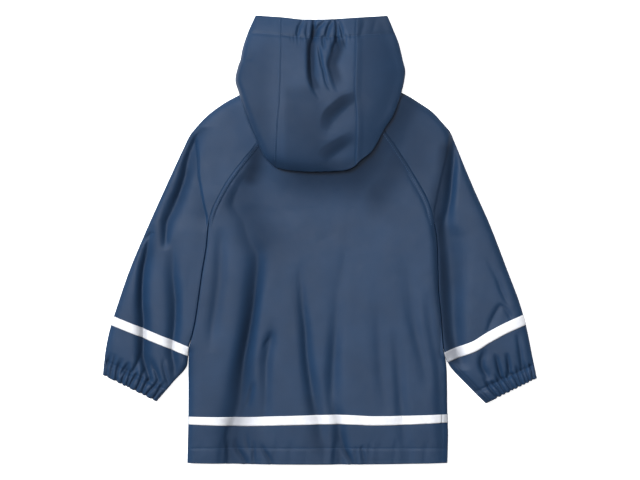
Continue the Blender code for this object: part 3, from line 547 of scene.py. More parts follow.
def reflective_tape():
    """Silver glass-bead tape: nearly white, satin, with a fine bead grain."""
    values = {"Roughness": 0.42, "Specular IOR Level": 0.5}
    new, tree, shader, place = material("glass_bead_reflective_tape", values)
    dapple = spread(tree, noise(tree, place, 0.012, 4.0, 0.7), 0.35, 0.6)
    # Painted shade: the fold attribute mixes the tape towards the grey #84878F
    with_painted_shade(tree, shader, between(tree, "#CACCD3", "#D6D8DC", dapple), "#84878F")
    beads = node(tree, "ShaderNodeTexVoronoi", {"Scale": 1 / 0.0014}, {"Vector": place})
    tree.links.new(relief(tree, beads.outputs["Distance"], 0.25, 0.0001), shader.inputs["Normal"])
    return new


def mottled(name, low, high, size, detail, values):
    """A material whose colour wanders between two."""
    new, tree, shader, place = material(name, values)
    tree.links.new(between(tree, low, high, noise(tree, place, size, detail)), shader.inputs["Base Color"])
    return new


NAVY = coated_cloth()
TAPE = reflective_tape()
# Spun polyester sewing thread: matt, with a slight twist
THREAD = mottled("polyester_sewing_thread", "#1C3350", "#34506F", 0.0009, 1.0, {"Roughness": 0.7})
# Painted brass: dark satin with fine turning marks
STUD = mottled(
    "painted_brass_stud", "#6F747C", "#9AA0A8", 0.0015, 3.0, {"Metallic": 1.0, "Roughness": 0.34},
)


# Body ---------------------------------------------------------------------------------------------

# Folds that hang down the back: (power, rows of (y, x, left, right, depth))
BACK_TROUGHS = [
    (1.6, [(112, -104, 8, 30, 0), (96, -116, 8, 34, 1.6), (80, -125, 8, 40, 3.0), (53, -134, 9, 46, 4.0),
           (26, -121, 13, 30, 4.4), (0, -113, 14, 22, 5.0), (-28, -102, 15, 11, 6.8),
           (-64, -104, 14, 9, 9.0), (-100, -107, 13, 7, 10.5), (-136, -112, 12, 7, 11.5),
           (-172, -119, 12, 9, 11.5), (-208, -125, 14, 13, 10.5), (-244, -130, 15, 22, 9.5),
           (-285, -140, 16, 34, 8.0), (-335, -142, 16, 34, 7.0), (-350, -142, 16, 34, 0)]),
    (1.6, [(-118, -74, 8, 8, 0), (-134, -76, 8, 8, 0.8), (-150, -78, 8, 7, 3.4), (-165, -82, 8, 8, 4.2),
           (-190, -86, 10, 8, 4.0), (-240, -87, 10, 9, 2.8), (-285, -92, 9, 9, 0.6), (-300, -92, 9, 9, 0)]),
    (1.6, [(-36, -36, 8, 9, 0), (-64, -33, 7, 8, 1.6), (-100, -30, 7, 7, 3.0), (-136, -26, 7, 7, 4.6),
           (-172, -24, 7, 8, 5.4), (-208, -20, 8, 9, 5.8), (-244, -14.5, 8, 12, 4.8),
           (-285, -5, 10, 12, 3.2), (-320, 0, 10, 10, 0.6), (-335, 0, 10, 10, 0)]),
    (1.8, [(-30, 22, 9, 10, 0), (-64, 21, 9, 10, 0.7), (-100, 19, 9, 11, 1.3), (-136, 17, 9, 10, 2.4),
           (-172, 15, 9, 9, 4.0), (-208, 13, 9, 10, 4.4), (-244, 12, 10, 12, 3.2), (-285, 23, 9, 8, 5.0),
           (-320, 23, 9, 12, 4.6), (-335, 24, 9, 12, 4.2), (-350, 24, 9, 12, 0)]),
    (2.0, [(-90, 74, 9, 10, 0), (-130, 80, 10, 11, 1.3), (-170, 83, 10, 11, 1.7), (-208, 86, 9, 10, 1.5),
           (-250, 93, 9, 9, 0.6), (-262, 95, 9, 9, 0)]),
    (2.0, [(-130, 103, 8, 9, 0), (-160, 108, 8, 9, 1.2), (-200, 112, 8, 9, 2.0), (-244, 115, 8, 9, 2.4),
           (-290, 119, 9, 10, 1.8), (-335, 123, 9, 10, 1.0), (-345, 123, 9, 10, 0)]),
    (2.0, [(-20, 116, 14, 12, 0), (-60, 123, 14, 12, 1.1), (-100, 129, 12, 10, 1.7),
           (-136, 136, 9, 10, 2.4), (-172, 145, 9, 9, 2.0), (-205, 152, 9, 9, 1.3), (-235, 157, 9, 9, 0)]),
    (2.0, [(-80, 154, 9, 9, 0), (-118, 158, 9, 9, 1.8), (-154, 164, 10, 11, 2.6),
           (-200, 172, 9, 12, 2.8), (-250, 175, 9, 12, 2.6), (-335, 178, 10, 12, 1.4),
           (-345, 178, 10, 12, 0)]),
    (2.0, [(20, -154, 9, 10, 0), (-10, -155, 9, 10, 2.0), (-60, -157, 9, 10, 2.6),
           (-100, -162, 8, 10, 2.6), (-136, -167, 8, 9, 2.0), (-170, -171, 8, 8, 0)]),
    (2.0, [(110, 122, 8, 8, 0), (95, 131, 8, 8, 1.6), (75, 144, 8, 8, 2.2), (55, 155, 7, 8, 2.4),
           (23, 166, 6, 8, 2.4), (-10, 171, 6, 8, 2.2), (-73, 175, 6, 8, 1.8), (-130, 181, 6, 8, 1.0),
           (-150, 184, 6, 8, 0)]),
]
# Shorter creases: points (x, y, depth), width before and after
BACK_CREASES = [
    ([(-102, -212, 0), (-105, -226, 2.2), (-108, -240, 2.0), (-113, -254, 0)], 2.6, 4.0),
    ([(-78, -138, 0), (-77, -146, 1.0), (-82, -154, 1.4), (-86, -166, 0)], 2.6, 4.0),
    ([(-8, 2, 0), (6, -2, 0.3), (16, 4, 0.25), (28, 10, 0)], 5.0, 8.0),
    ([(36, -10, 0), (30, -40, 0.7), (28, -90, 0)], 7.0, 9.0),
    ([(-135, -268, 0), (-142, -296, 1.2), (-138, -330, 1.0), (-138, -336, 0)], 3.0, 4.0),
    # Slanting pleats in the hem
    ([(-130, -298, 0), (-127, -312, 2.2), (-121, -323, 3.2), (-115, -332, 2.8),
      (-111, -340, 2.0)], 2.6, 4.2),
    ([(-102, -300, 0), (-101.5, -312, 1.8), (-101, -324, 2.4), (-99, -340, 1.6)], 1.8, 2.8),
    ([(-113, -288, 0), (-112, -298, 1.0), (-110.5, -308, 1.8), (-108, -318, 1.0),
      (-107, -322, 0)], 1.8, 2.6),
    ([(-90, -306, 0), (-87, -315, 1.8), (-81, -324, 2.6), (-76, -333, 2.2), (-73, -340, 1.6)], 2.2, 3.4),
    ([(29, -288, 0), (32, -303, 1.8), (34.5, -314, 2.8), (39, -324, 3.6), (44, -333, 2.8),
      (47, -340, 2.0)], 2.8, 4.2),
    ([(52, -308, 0), (52, -320, 1.4), (53, -340, 1.2)], 1.6, 2.4),
    ([(62, -306, 0), (61, -315, 1.6), (63, -325, 2.2), (66, -340, 1.6)], 1.8, 2.8),
]
HEM_GATHERS = [  # (x, width, depth) of the small puckers that the hem's stitches pull
    (-180, 4, 0.5), (-148, 4, 0.6), (-138, 3.0, 0.8), (-92, 2.6, 0.6), (-66, 4, 0.6), (-44, 5, 0.5),
    (-20, 5, 0.4), (8, 5, 0.6), (22, 3.0, 0.9), (74, 3.0, 0.7), (88, 5, 0.5), (112, 4, 0.6),
    (136, 5, 0.5), (158, 4, 0.6),
]
RAGLAN_LEFT = outline(INNER_LEFT, UNDERARM, NECK)
RAGLAN_RIGHT = outline(INNER_RIGHT, UNDERARM, NECK)
WELT = 5.2  # width of the seam allowance that is stitched down beside the raglan seam


def hem_height(x, y):
    """The hem's casing, one stitched groove and its puckers, each a bell across and easing out above the
    stitches."""
    total = -0.3 * bump(y - HEM_STITCH, 1.6) + 0.3 * ease((HEM_STITCH - y) / 4)
    for at, width, depth in HEM_GATHERS:
        total -= depth * bump(x - at - 0.08 * (y - HEM_STITCH), width) * ease((HEM_STITCH + 16 - y) / 16)
    return total


def welt_height(x, y):
    """Beside the raglan seam the cloth is folded under: raised by 0.6 up to the stitches, then a shallow
    groove."""
    distance = np.minimum(nearest(x, y, RAGLAN_LEFT)[0], nearest(x, y, RAGLAN_RIGHT)[0])
    fade = ease((y - 12) / 30)
    raised = 0.6 * ease(distance / 2.0) * (1 - ease((distance - WELT) / 2.4))
    return (raised - 0.5 * bump(distance - WELT - 1.2, 1.6) - 0.4 * bump(distance, 1.1)) * fade


def back_folds(x, y):
    return troughs(x, y, BACK_TROUGHS) + creases(x, y, BACK_CREASES)


def back_height(x, y):
    return coat_top(x, y) + back_folds(x, y) + hem_height(x, y) + welt_height(x, y)


def painted_crease_shade(folds, depth=10.0, most=0.7):
    """Share of painted shade that gathers in the floor of a fold: its depth against the deepest one."""
    return most * np.clip(-folds / depth, 0, 1) ** 1.5


def painted_back_shade(x, y):
    """Painted shade: the folds' own, with more of it in the small creases, the hood's painted shadow and the
    broad hollows; from just below the tape down, all of it is a little darker.
    """
    small = painted_crease_shade(creases(x, y, BACK_CREASES), 3.2, 0.75)
    hem = 0.13 * ease((-278 - y) / 8)
    shares = [painted_crease_shade(back_folds(x, y)), small, painted_hood_shadow(x, y), painted_hollow_shade(x, y, BACK_PAINTED_SHADE)]
    return np.max(shares, axis=0) * (1 - hem) + hem


def tape_lift(y, low, high):
    """How far the lowest layer rises to let the tape lie under it: TAPE_RISE between two heights."""
    return TAPE_RISE * ease((y - low + 3) / 3) * ease((high + 3 - y) / 3)


side = np.concatenate([
    np.linspace(HEM, -331, 4), np.linspace(-331, -318, 7)[1:], np.linspace(-318, -308, 10)[1:],
    np.linspace(-308, UNDERARM, 148)[1:], np.linspace(UNDERARM, NECK, 86)[1:],
])
rows = len(side)
below = side <= UNDERARM
tubes = int(below.sum())
left_edge = np.where(below, side_x(side, -1), curve(INNER_LEFT, side))
right_edge = np.where(below, side_x(side, 1), curve(INNER_RIGHT, side))
open_share = np.where(below, 0.0, 1.0)
depths = side_depth(side)
left_inset = TOP_DEPTH + (SEAM_GAP / 2 - TOP_DEPTH) * open_share
seam_over = 0.9 + 0.7 * ease((8 - side) / 30) + (SIDE_SEAM_OVER - 1.6) * ease((-120 - side) / 90)
right_inset = (seam_over + SEAM_GAP / 2) * (1 - open_share) + SEAM_GAP / 2 * open_share
start, end = left_edge + left_inset, right_edge - right_inset
NEAR = np.array([0, 0.25, 1.2, 2.4, 3.6, 4.8, 6.0, 7.2, 8.6, 10.0, 12.0])
middle = np.linspace(0, 1, 158)[None, 1:-1]
x = np.concatenate(
    [
        start[:, None] + NEAR,
        (start + NEAR[-1])[:, None] + (end - start - 2 * NEAR[-1])[:, None] * middle,
        end[:, None] - NEAR[::-1],
    ],
    1,
)
across = (x - x[:, :1]) / (x[:, -1:] - x[:, :1])
mid_side = np.interp(side, [r[0] for r in NECK_ROWS], [r[1] for r in NECK_ROWS])
y = side[:, None] + (mid_side - side)[:, None] * (1 - np.abs(2 * across - 1) ** 2)
back_grid = np.stack([x, y, back_height(x, y)], -1)
low = tape_lift(side, -276, -263)
walls = np.where(side < HEM_STITCH, HEM_WALL, WALL)[:, None]

back = Cloth()
# with the back's share of painted shade
back.grid(back_grid, walls, painted_back_shade(x, y))
edge = np.stack([left_edge, side], -1)[:tubes]
left_turn = turn(edge, (-1, 0), back_grid[:tubes, 0, 2], low[:tubes], -1, 1, TURN_STEPS, depths[:tubes])
left_turn[:, -1] = back_grid[:tubes, 0]
under = np.stack([left_edge + FOLD_DEPTH + SIDE_SEAM_UNDER, side, low], -1)[:tubes, None]
left_turn = np.concatenate([under, (under + left_turn[:, :1]) / 2, left_turn], 1)
back.grid(left_turn, walls[:tubes])
back_piece = back.piece("back_shell", NAVY)
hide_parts("back")


def front_grid(side_sign, edge_x, inset, lift):
    """A front from its side or raglan seam to the edge of its lap: flat on the floor, raised over the lap."""
    inner = edge_x + inset
    passed = -side_sign * np.array([-LAP - 8, -LAP - 1, -2, LAP * 0.5, LAP - 3, LAP - 1, LAP])
    raised = np.array([0.0, 1, 1, 1, 1, 1, 1]) * lift
    outer = np.linspace(0, 1, 22)[None, :-1]
    free = inner[:, None] + (passed[0] - inner)[:, None] * outer
    xs = np.concatenate([free, np.broadcast_to(passed, (rows, 7))], 1)
    heights = np.concatenate([np.zeros((rows, 21)), np.broadcast_to(raised, (rows, 7))], 1)
    heights = np.maximum(heights, low[:, None])
    along = np.clip((xs - inner[:, None]) / (0 - inner[:, None]), 0, 1)
    at_front = np.interp(side, [r[0] for r in NECK_ROWS], [r[2] for r in NECK_ROWS])
    ys = side[:, None] + (at_front - side)[:, None] * along**NECK_CURVE
    return np.stack([xs, ys, heights], -1)


left_inner = np.where(below, FOLD_DEPTH + SIDE_SEAM_UNDER + SEAM_GAP, SEAM_GAP / 2)
left_front_grid = front_grid(-1, left_edge, left_inner, LAP_RISE)
front = Cloth()
front.grid(left_front_grid, walls)
front_left = front.piece("front_left_shell", NAVY, (0, 0, -1))
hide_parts("front_left")

right_front_grid = front_grid(1, right_edge, -np.where(below, depths, SEAM_GAP / 2), FLAP_RISE)
edge = np.stack([right_edge, side], -1)[:tubes]
over_run = (seam_over - SEAM_GAP / 2 - TOP_DEPTH)[:tubes, None]
over_x = right_edge[:tubes, None] - TOP_DEPTH + over_run * np.array([-1, -0.97, -0.8, -0.6, -0.4, -0.2])
over = with_height(np.stack([over_x, side[:tubes, None] + 0 * over_x], -1), back_height)
inset_top = back_height(right_edge[:tubes] - TOP_DEPTH, side[:tubes])
right_turn = turn(edge, (1, 0), inset_top, low[:tubes], 1, -1, TURN_STEPS, depths[:tubes])
right_turn[:, -1] = right_front_grid[:tubes, 0]
right_turn = np.concatenate([over, right_turn], 1)
front = Cloth()
front.grid(right_turn, walls[:tubes])
front.grid(right_front_grid, walls)
front_right = front.piece("front_right_shell", NAVY)
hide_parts("front_right")


# Sleeves ------------------------------------------------------------------------------------------

LEFT_TROUGHS = [
    (1.6, [(168, -180, 6, 10, 0), (150, -190, 6, 10, 4.6), (119, -202, 7, 12, 6.8),
           (95, -207, 8, 10, 7.6), (71, -214.5, 8, 9, 7.8), (47, -225, 9, 11, 7.4),
           (23, -233.5, 7, 9, 6.0), (-1, -234.5, 6, 6, 4.0), (-16, -236, 6, 6, 0)]),
    (1.5, [(24, -254, 5, 7, 0), (-1, -259, 5, 8, 3.4), (-25, -263.5, 6, 8, 7.0), (-49, -268, 6, 8, 8.6),
           (-73, -269.5, 6, 7, 9.2), (-97, -270, 7, 7, 9.4), (-121, -268.5, 8, 7, 9.2),
           (-169, -269, 7, 8, 9.2), (-185, -266.5, 6, 8, 9.0), (-200, -261, 5, 6, 6.6),
           (-211, -257, 4, 5, 3.0), (-217, -254, 4, 5, 0)]),
    (1.6, [(0, -226, 9, 8, 0), (-25, -226, 9, 8, 2.0), (-49, -226, 10, 8, 4.0), (-73, -224, 10, 8, 6.0),
           (-97, -222, 10, 7, 7.0), (-121, -222, 9, 7, 7.4), (-169, -226, 8, 7, 6.0),
           (-193, -222, 7, 7, 4.6), (-215, -224, 7, 7, 0)]),
    (2.0, [(60, -178, 8, 8, 0), (30, -180, 10, 10, 0.6), (-40, -190, 10, 10, 0.6), (-90, -196, 9, 9, 0)]),
]
RIGHT_TROUGHS = [
    (1.8, [(176, 192, 6, 6, 0), (143, 195, 7, 6, 4.0), (119, 195, 8, 6, 5.6), (95, 193, 8, 5, 6.2),
           (71, 191, 8, 5, 6.2), (47, 187, 8, 6, 5.8), (23, 181, 10, 12, 5.8), (-1, 180, 15, 20, 6.8),
           (-25, 183, 16, 20, 7.8), (-73, 187, 16, 16, 8.4), (-121, 189, 16, 13, 8.4),
           (-150, 193, 13, 12, 7.4), (-180, 202, 9, 10, 4.0), (-196, 208, 8, 8, 0)]),
]
# The left sleeve dips under its upper fold beside the shoulder, and so does the right one
WEDGE_LEFT = [(-188, 159), (-184, 149), (-181, 120), (-180, 95), (-173, 54), (-168, 33)]
WEDGE_RIGHT = [(194, 159), (186, 119), (180, 95), (169, 44)]


def wedge(x, y, line, sign):
    """The dip of the sleeve just outside the fold that runs down from the shoulder, shallower on the
    right."""
    top, foot = line[0][1], line[-1][1]
    over = sign * (x - np.interp(y, [p[1] for p in line[::-1]], [p[0] for p in line[::-1]]))
    span = ease((top + 5 - y) / 25) * ease((y - foot + 25) / 30)
    return (-3.4 if sign < 0 else -1.2) * ease(over / 3.0) * np.exp(-np.maximum(over, 0) / 30) * span


# Shorter creases of each sleeve: points (x, y, depth), width before and after
LEFT_CREASES = [
    ([(-268, -7, 0), (-262, -1, 1.8), (-255, 5, 1.6), (-247, 9, 0)], 2.2, 4.0),
    ([(-196, -20, 0), (-200, -60, 0.5), (-204, -110, 0.5), (-204, -140, 0)], 6.0, 8.0),
    # Above the cuff
    ([(-256, -178, 0), (-252, -190, 2.4), (-246, -203, 3.6), (-243, -212, 1.8), (-241, -218, 0)], 2.4, 3.4),
    ([(-236, -176, 0), (-235.5, -190, 1.8), (-233, -203, 2.6), (-229.5, -214, 1.8),
      (-228, -220, 0)], 2.0, 2.8),
    ([(-286, -182, 0), (-291, -189, 1.8), (-295, -195, 2.6), (-298.5, -201, 1.8),
      (-300, -205, 0)], 2.4, 3.0),
    ([(-308, -170, 0), (-310, -182, 1.8), (-313, -194, 2.4), (-315, -206, 1.6), (-317, -212, 0)], 3.0, 3.0),
    ([(-271, -168, 0), (-274, -182, 2.4), (-279, -193, 3.0), (-283, -200, 1.6), (-285, -204, 0)], 3.0, 4.0),
]
RIGHT_CREASES = [
    ([(246, -30, 0), (254, -44, 0.6), (262, -58, 1.2), (268, -74, 1.8), (275, -90, 1.4),
      (284, -104, 0)], 3.4, 5.0),
    ([(270, -94, 0), (266, -100, 1.4), (258, -114, 2.0), (251, -130, 1.4), (246, -146, 0)], 3.4, 5.0),
    ([(268, -98, 0), (274, -104, 1.2), (281, -114, 1.6), (286, -124, 0)], 3.0, 4.0),
    # Above the cuff
    ([(245, -162, 0), (242, -172, 2.0), (239, -182, 3.2), (239.5, -190, 3.8), (243, -198, 3.8),
      (248, -207, 2.0), (250, -213, 0)], 4.0, 5.0),
    ([(260, -172, 0), (263, -182, 2.6), (266.5, -196, 4.0), (269.5, -206, 3.2), (271, -212, 0)], 2.8, 3.0),
    ([(278, -170, 0), (279.5, -180, 2.6), (281, -192, 3.8), (281.7, -201, 2.8), (282, -208, 0)], 2.6, 2.8),
    ([(293, -138, 0), (294.5, -150, 1.4), (297.5, -170, 2.4), (300, -188, 2.8), (301, -195, 1.8),
      (302, -200, 0)], 3.0, 4.0),
]

# Cuff gathers: (share across the upper side from the inner edge, width, depth, how far up they run)
CUFF_GATHERS_LEFT = [
    (0.09, 0.018, 2.4, 14), (0.19, 0.018, 2.8, 18), (0.29, 0.020, 2.8, 10), (0.40, 0.020, 3.0, 22),
    (0.50, 0.018, 3.0, 10), (0.57, 0.016, 2.6, 8), (0.64, 0.018, 3.0, 14), (0.76, 0.024, 3.0, 18),
    (0.93, 0.024, 2.6, 20),
]
CUFF_GATHERS_RIGHT = [
    (0.236, 0.019, 3.2, 18), (0.32, 0.018, 2.8, 9), (0.404, 0.018, 3.0, 16), (0.486, 0.018, 3.0, 8),
    (0.554, 0.016, 2.6, 12), (0.636, 0.018, 3.0, 8), (0.72, 0.018, 2.8, 14), (0.786, 0.016, 2.4, 8),
    (0.854, 0.018, 2.8, 12), (0.925, 0.018, 2.4, 8),
]
# Distance of the underarm seam's two rows of stitches from the right sleeve's inner edge
SEAM_LINES = (4.6, 8.4)


def underarm_seam(x, y, sign):
    """Two fine grooves along the right cuff's inner edge; the left one's seam lies hidden underneath."""
    distance = nearest(x, y, OUTER_EDGES[-1])[0]
    shown = ease((-176 - y) / 14) * (sign > 0)
    return -sum(0.55 * bump(distance - at, 1.1) for at in SEAM_LINES) * shown


def sleeve(name, sign, inner_rows, outer_rows, stations, trough_table, crease_table, wedge_line, gathers):
    """One raglan sleeve. Each row is a ring from the underarm seam over the top, round the outer fold, back
    underneath and up to the seam; above the underarm the ring opens along the raglan seams."""

    def folds(x, y):
        return troughs(x, y, trough_table) + creases(x, y, crease_table) + wedge(x, y, wedge_line, sign)

    def height(x, y):
        return coat_top(x, y) + folds(x, y) + underarm_seam(x, y, sign)

    table = np.array(stations, float)
    key = np.concatenate([[0], np.cumsum(np.hypot(*np.diff(table, axis=0).T) / np.sqrt(2))])
    down, to_rim = np.linspace(0, key[-5], SLEEVE_ROWS), np.linspace(key[-5], key[-1], CUFF_ROWS)
    place = np.concatenate([down, to_rim[1:]])
    y_in, y_out = np.interp(place, key, table[:, 0]), np.interp(place, key, table[:, 1])
    inner = np.stack([curve(inner_rows, y_in) + sign * SEAM_GAP / 2, y_in], -1)
    outer = np.stack([curve(outer_rows, y_out), y_out], -1)
    width = np.linalg.norm(outer - inner, axis=1)
    way = (outer - inner) / width[:, None]
    from_rim = np.linalg.norm((inner + outer) / 2 - (inner[-1] + outer[-1]) / 2, axis=1)
    closed = ease((UNDERARM - y_in) / 5)[:, None, None]
    in_depth = side_depth(y_in)
    tape_low, tape_high = key[TAPE_STATIONS[0]], key[TAPE_STATIONS[1]]
    base = TAPE_RISE * ease((place - tape_low + 3) / 3) * ease((tape_high + 3 - place) / 3)

    insets = ((depth / width)[:, None] for depth in (in_depth, FOLD_DEPTH, TOP_DEPTH))
    inset_in, inset_out, inset_top = insets
    top_share = inset_top + (1 - 2 * inset_top) * np.linspace(0, 1, TOP_COLUMNS)[None]
    top = with_height(mixed(inner, outer, top_share), height)
    under_share = 1 - inset_out - (1 - inset_in - inset_out) * np.linspace(0, 1, UNDER_COLUMNS)[None]
    under = with_height(mixed(inner, outer, under_share), base[:, None])
    round_out = turn(outer, way, top[:, -1, 2], base, 1, -1, 16)
    split = 0.03
    back_closed = turn(inner, -way, top[:, 0, 2], base, split, 1, 8, in_depth)
    front_closed = turn(inner, -way, top[:, 0, 2], base, -1, -split, 8, in_depth)
    reach = np.array([0, 0.1, 0.2, 0.3, 0.43, 0.55, 0.7, 0.85, 1.0])
    back_open = with_height(inner[:, None] + TOP_DEPTH * reach[None, :, None] * way[:, None], height)
    back_open[..., 2] -= 0.4 * (1 - reach) ** 2
    flat = inner[:, None] + (in_depth[:, None] * reach[::-1])[..., None] * way[:, None]
    front_open = with_height(flat, base[:, None])
    back_in = back_open * (1 - closed) + back_closed * closed
    front_in = front_open * (1 - closed) + front_closed * closed
    whole = np.concatenate([back_in[:, :-1], top, round_out[:, 1:-1], under, front_in[:, 1:]], 1)

    # The elastic casing: gathers across the upper side, the same ones shallower underneath
    share = ((whole[..., :2] - inner[:, None]) * way[:, None]).sum(-1) / width[:, None]
    thick = np.maximum(top[:, MIDDLE_COLUMN, 2] - base, 1)[:, None]
    upper = ease((whole[..., 2] - base[:, None]) / thick * 1.6 - 0.3)
    k = from_rim[:, None]
    puff = 1.5 * np.sin(np.pi * np.clip(k / CUFF_DEPTH, 0, 1)) ** 0.7 - 0.9 * bump(k - CUFF_DEPTH, 2.2)
    pull = 3.2 * (1 - ease(k / 60))
    near_edge = ease(share / 0.06) * ease((1 - share) / 0.06)
    wave = np.zeros(share.shape)
    for at, wide, depth, far in gathers:
        line = at + 0.012 * np.sin(k / 7 + 40 * at)
        reach_up = 1 - ease((k - CUFF_DEPTH) / far)
        tuck = depth * (0.8 + 0.2 * bump(k - CUFF_DEPTH, 8))
        wave -= tuck * bump(share - line, wide + 0.010 * ease(k / 40)) * reach_up
    shift = puff * ease((CUFF_DEPTH + 8 - k) / 6) + wave + 0.8 * ease((CUFF_DEPTH - k) / 6) - pull * 0.6
    whole[..., 2] += upper * (shift * near_edge)
    under_lift = 0.9 - 0.9 * np.cos(2 * np.pi * share * UNDER_GATHERS)
    whole[..., 2] += (1 - upper) * near_edge * under_lift * (1 - ease((k - CUFF_DEPTH) / 10)) * 0.6
    scallop = 1.1 * wave / 2 * (1 - ease(k / 6))
    axis = (inner[-1] + outer[-1]) / 2 - (inner[-20] + outer[-20]) / 2
    whole[..., :2] += (scallop * upper)[..., None] * unit(axis)

    at_x, at_y = whole[..., 0], whole[..., 1]
    # Painted shade on the upper side: in the folds and gathers, the creases, the hood's painted shadow, the
    # underarm seam's grooves and the broad hollows
    dark = upper * np.max([
        painted_crease_shade(folds(at_x, at_y) + wave * upper * 3.2, 11.0),
        painted_crease_shade(creases(at_x, at_y, crease_table), 5.0, 0.6),
        painted_hood_shadow(at_x, at_y),
        -1.1 * underarm_seam(at_x, at_y, sign),
        painted_hollow_shade(at_x, at_y, LEFT_PAINTED_SHADE if sign < 0 else RIGHT_PAINTED_SHADE),
    ], axis=0)
    walls = np.where(from_rim < CUFF_DEPTH, HEM_WALL * 0.8, WALL)[:, None]
    cloth = Cloth()
    cloth.grid(whole, walls, dark)
    piece = cloth.piece(name + "_shell", NAVY)
    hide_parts(name)
    return piece, whole, place, key, dark


left_sleeve, *left_grid = sleeve(
    "sleeve_left", -1, INNER_LEFT, OUTER_LEFT, SLEEVE_LEFT, LEFT_TROUGHS, LEFT_CREASES, WEDGE_LEFT,
    CUFF_GATHERS_LEFT,
)
right_sleeve, *right_grid = sleeve(
    "sleeve_right", 1, INNER_RIGHT, OUTER_RIGHT, SLEEVE_RIGHT, RIGHT_TROUGHS, RIGHT_CREASES, WEDGE_RIGHT,
    CUFF_GATHERS_RIGHT,
)


# Hood ---------------------------------------------------------------------------------------------

HOOD_EDGE_LEFT = outline(HOOD_LEFT, HOOD_FOOT_LEFT, HOOD_TOP_Y, 40)
HOOD_EDGE_RIGHT = outline(HOOD_RIGHT, HOOD_FOOT_RIGHT, HOOD_TOP_Y, 40)
HOOD_CREASES = [  # points (x, y, depth), width before and after
    # The deep fold that falls from the elastic and bends under a rounded tongue of slack
    ([(-11, 322, 0), (-11.8, 312, 3.6), (-13.2, 300, 5.0), (-15.4, 290, 5.9), (-16.4, 277, 6.4),
      (-16.2, 263, 6.5), (-15.6, 250, 6.2), (-14.4, 240, 5.4), (-13, 231, 4.2), (-10.8, 222, 2.6),
      (-6, 213, 1.2), (-1, 205, 0)], 4.0, 10.5),
    # The narrow fold on the tongue
    ([(-4, 292, 0), (-2.5, 280, 2.4), (-0.5, 269, 3.0), (1.2, 260, 3.0), (4, 251, 2.8), (5.6, 242, 2.2),
      (7.6, 233, 1.8), (12, 224, 1.0), (15, 218, 0)], 2.2, 2.4),
    # The hollow right of it: a steep wall and a wide floor
    ([(25, 304, 0), (24, 297, 1.6), (20, 287, 2.4), (16.6, 278, 2.9), (13.4, 269, 3.1), (11.6, 260, 3.1),
      (13.5, 251, 2.9), (16, 242, 2.6), (18.6, 233, 2.0), (22, 224, 1.2), (25, 217, 0)], 4.4, 17.0),
    # Short folds below the elastic
    ([(2.5, 304, 0), (2.5, 299, 2.0), (4, 291, 2.2), (4.7, 281, 0)], 2.8, 2.8),
    ([(26, 304, 0), (23.5, 298, 2.4), (18.6, 288, 2.6), (15.5, 275, 0)], 2.6, 3.4),
    ([(23.5, 304, 0), (24.5, 299, 2.2), (26.5, 290, 2.2), (30.2, 279, 0)], 2.4, 3.0),
    ([(33, 303, 0), (34, 296, 1.6), (38, 284, 0)], 2.4, 3.0),
    # The wall below the tongue and its wide floor, and the diagonal hollow under them
    ([(58, 222, 0), (52, 214, 1.2), (44, 206, 2.2), (34, 197, 2.7), (25, 188, 2.6), (16, 179, 2.1),
      (9, 169, 1.5), (6, 158, 0.8), (6, 148, 0)], 11.0, 19.0),
    ([(50, 160, 0), (44, 152, 0.8), (37, 145, 1.5), (28, 137, 2.0), (18, 129, 1.9), (9, 121, 1.2),
      (2, 112, 0)], 10.0, 13.0),
    ([(-110, 264, 0), (-104, 267, 0.8), (-98, 267, 0)], 3.0, 3.0),
    # Gathers in the casing
    ([(-27, 331, 0), (-29, 325, 1.6), (-33, 317, 2.8), (-35, 308, 3.0), (-36, 302, 0)], 1.8, 2.8),
    ([(-18, 330, 0), (-20, 318, 1.4), (-21.5, 307, 2.2), (-21, 300, 0)], 1.8, 2.6),
    ([(-10.5, 332, 3.0), (-10.8, 322, 4.2), (-11, 314, 4.6), (-12, 302, 4.0), (-13.4, 294, 0)], 1.9, 2.8),
    ([(7, 330, 0), (4, 325, 1.8), (-3.8, 318.4, 3.2), (-7.5, 308, 3.2), (-8, 300, 0)], 2.0, 3.4),
    ([(18, 330, 0), (16, 326, 2.0), (11.5, 318.4, 3.6), (7.7, 306, 3.6), (5, 300, 0)], 2.0, 3.4),
    ([(21.5, 332, 2.6), (23.6, 320, 4.0), (24, 311, 4.2), (22.6, 302, 3.2), (21, 294, 0)], 1.9, 2.8),
    ([(26, 330, 0), (28, 322, 2.6), (31, 311, 3.4), (32.5, 303, 2.6), (34, 297, 0)], 2.0, 3.0),
    ([(66, 332, 0), (63, 320, 0.8), (58, 306, 0.8), (56, 296, 0)], 3.4, 4.0),
    ([(84, 334, 0), (79, 320, 0.7), (74, 304, 0)], 3.4, 4.0),
]
# x of each pucker along the elastic's stitches
STITCH_PUCKERS = [-44, -39, -33.5, -28.5, -25, -20, -17, 4, 11, 16, 27, 38, 46]


def hood_folds(x, y):
    """The creases, and short puckers that the elastic's stitches pull."""
    from_stitch = curve(RIM, x) - CASING - y
    total = creases(x, y, HOOD_CREASES)
    for k, at in enumerate(STITCH_PUCKERS):
        total -= (0.6 + 0.35 * (k % 3)) * bump(x - at, 1.2) * bump(from_stitch - 2, 5 + k % 4)
    return total


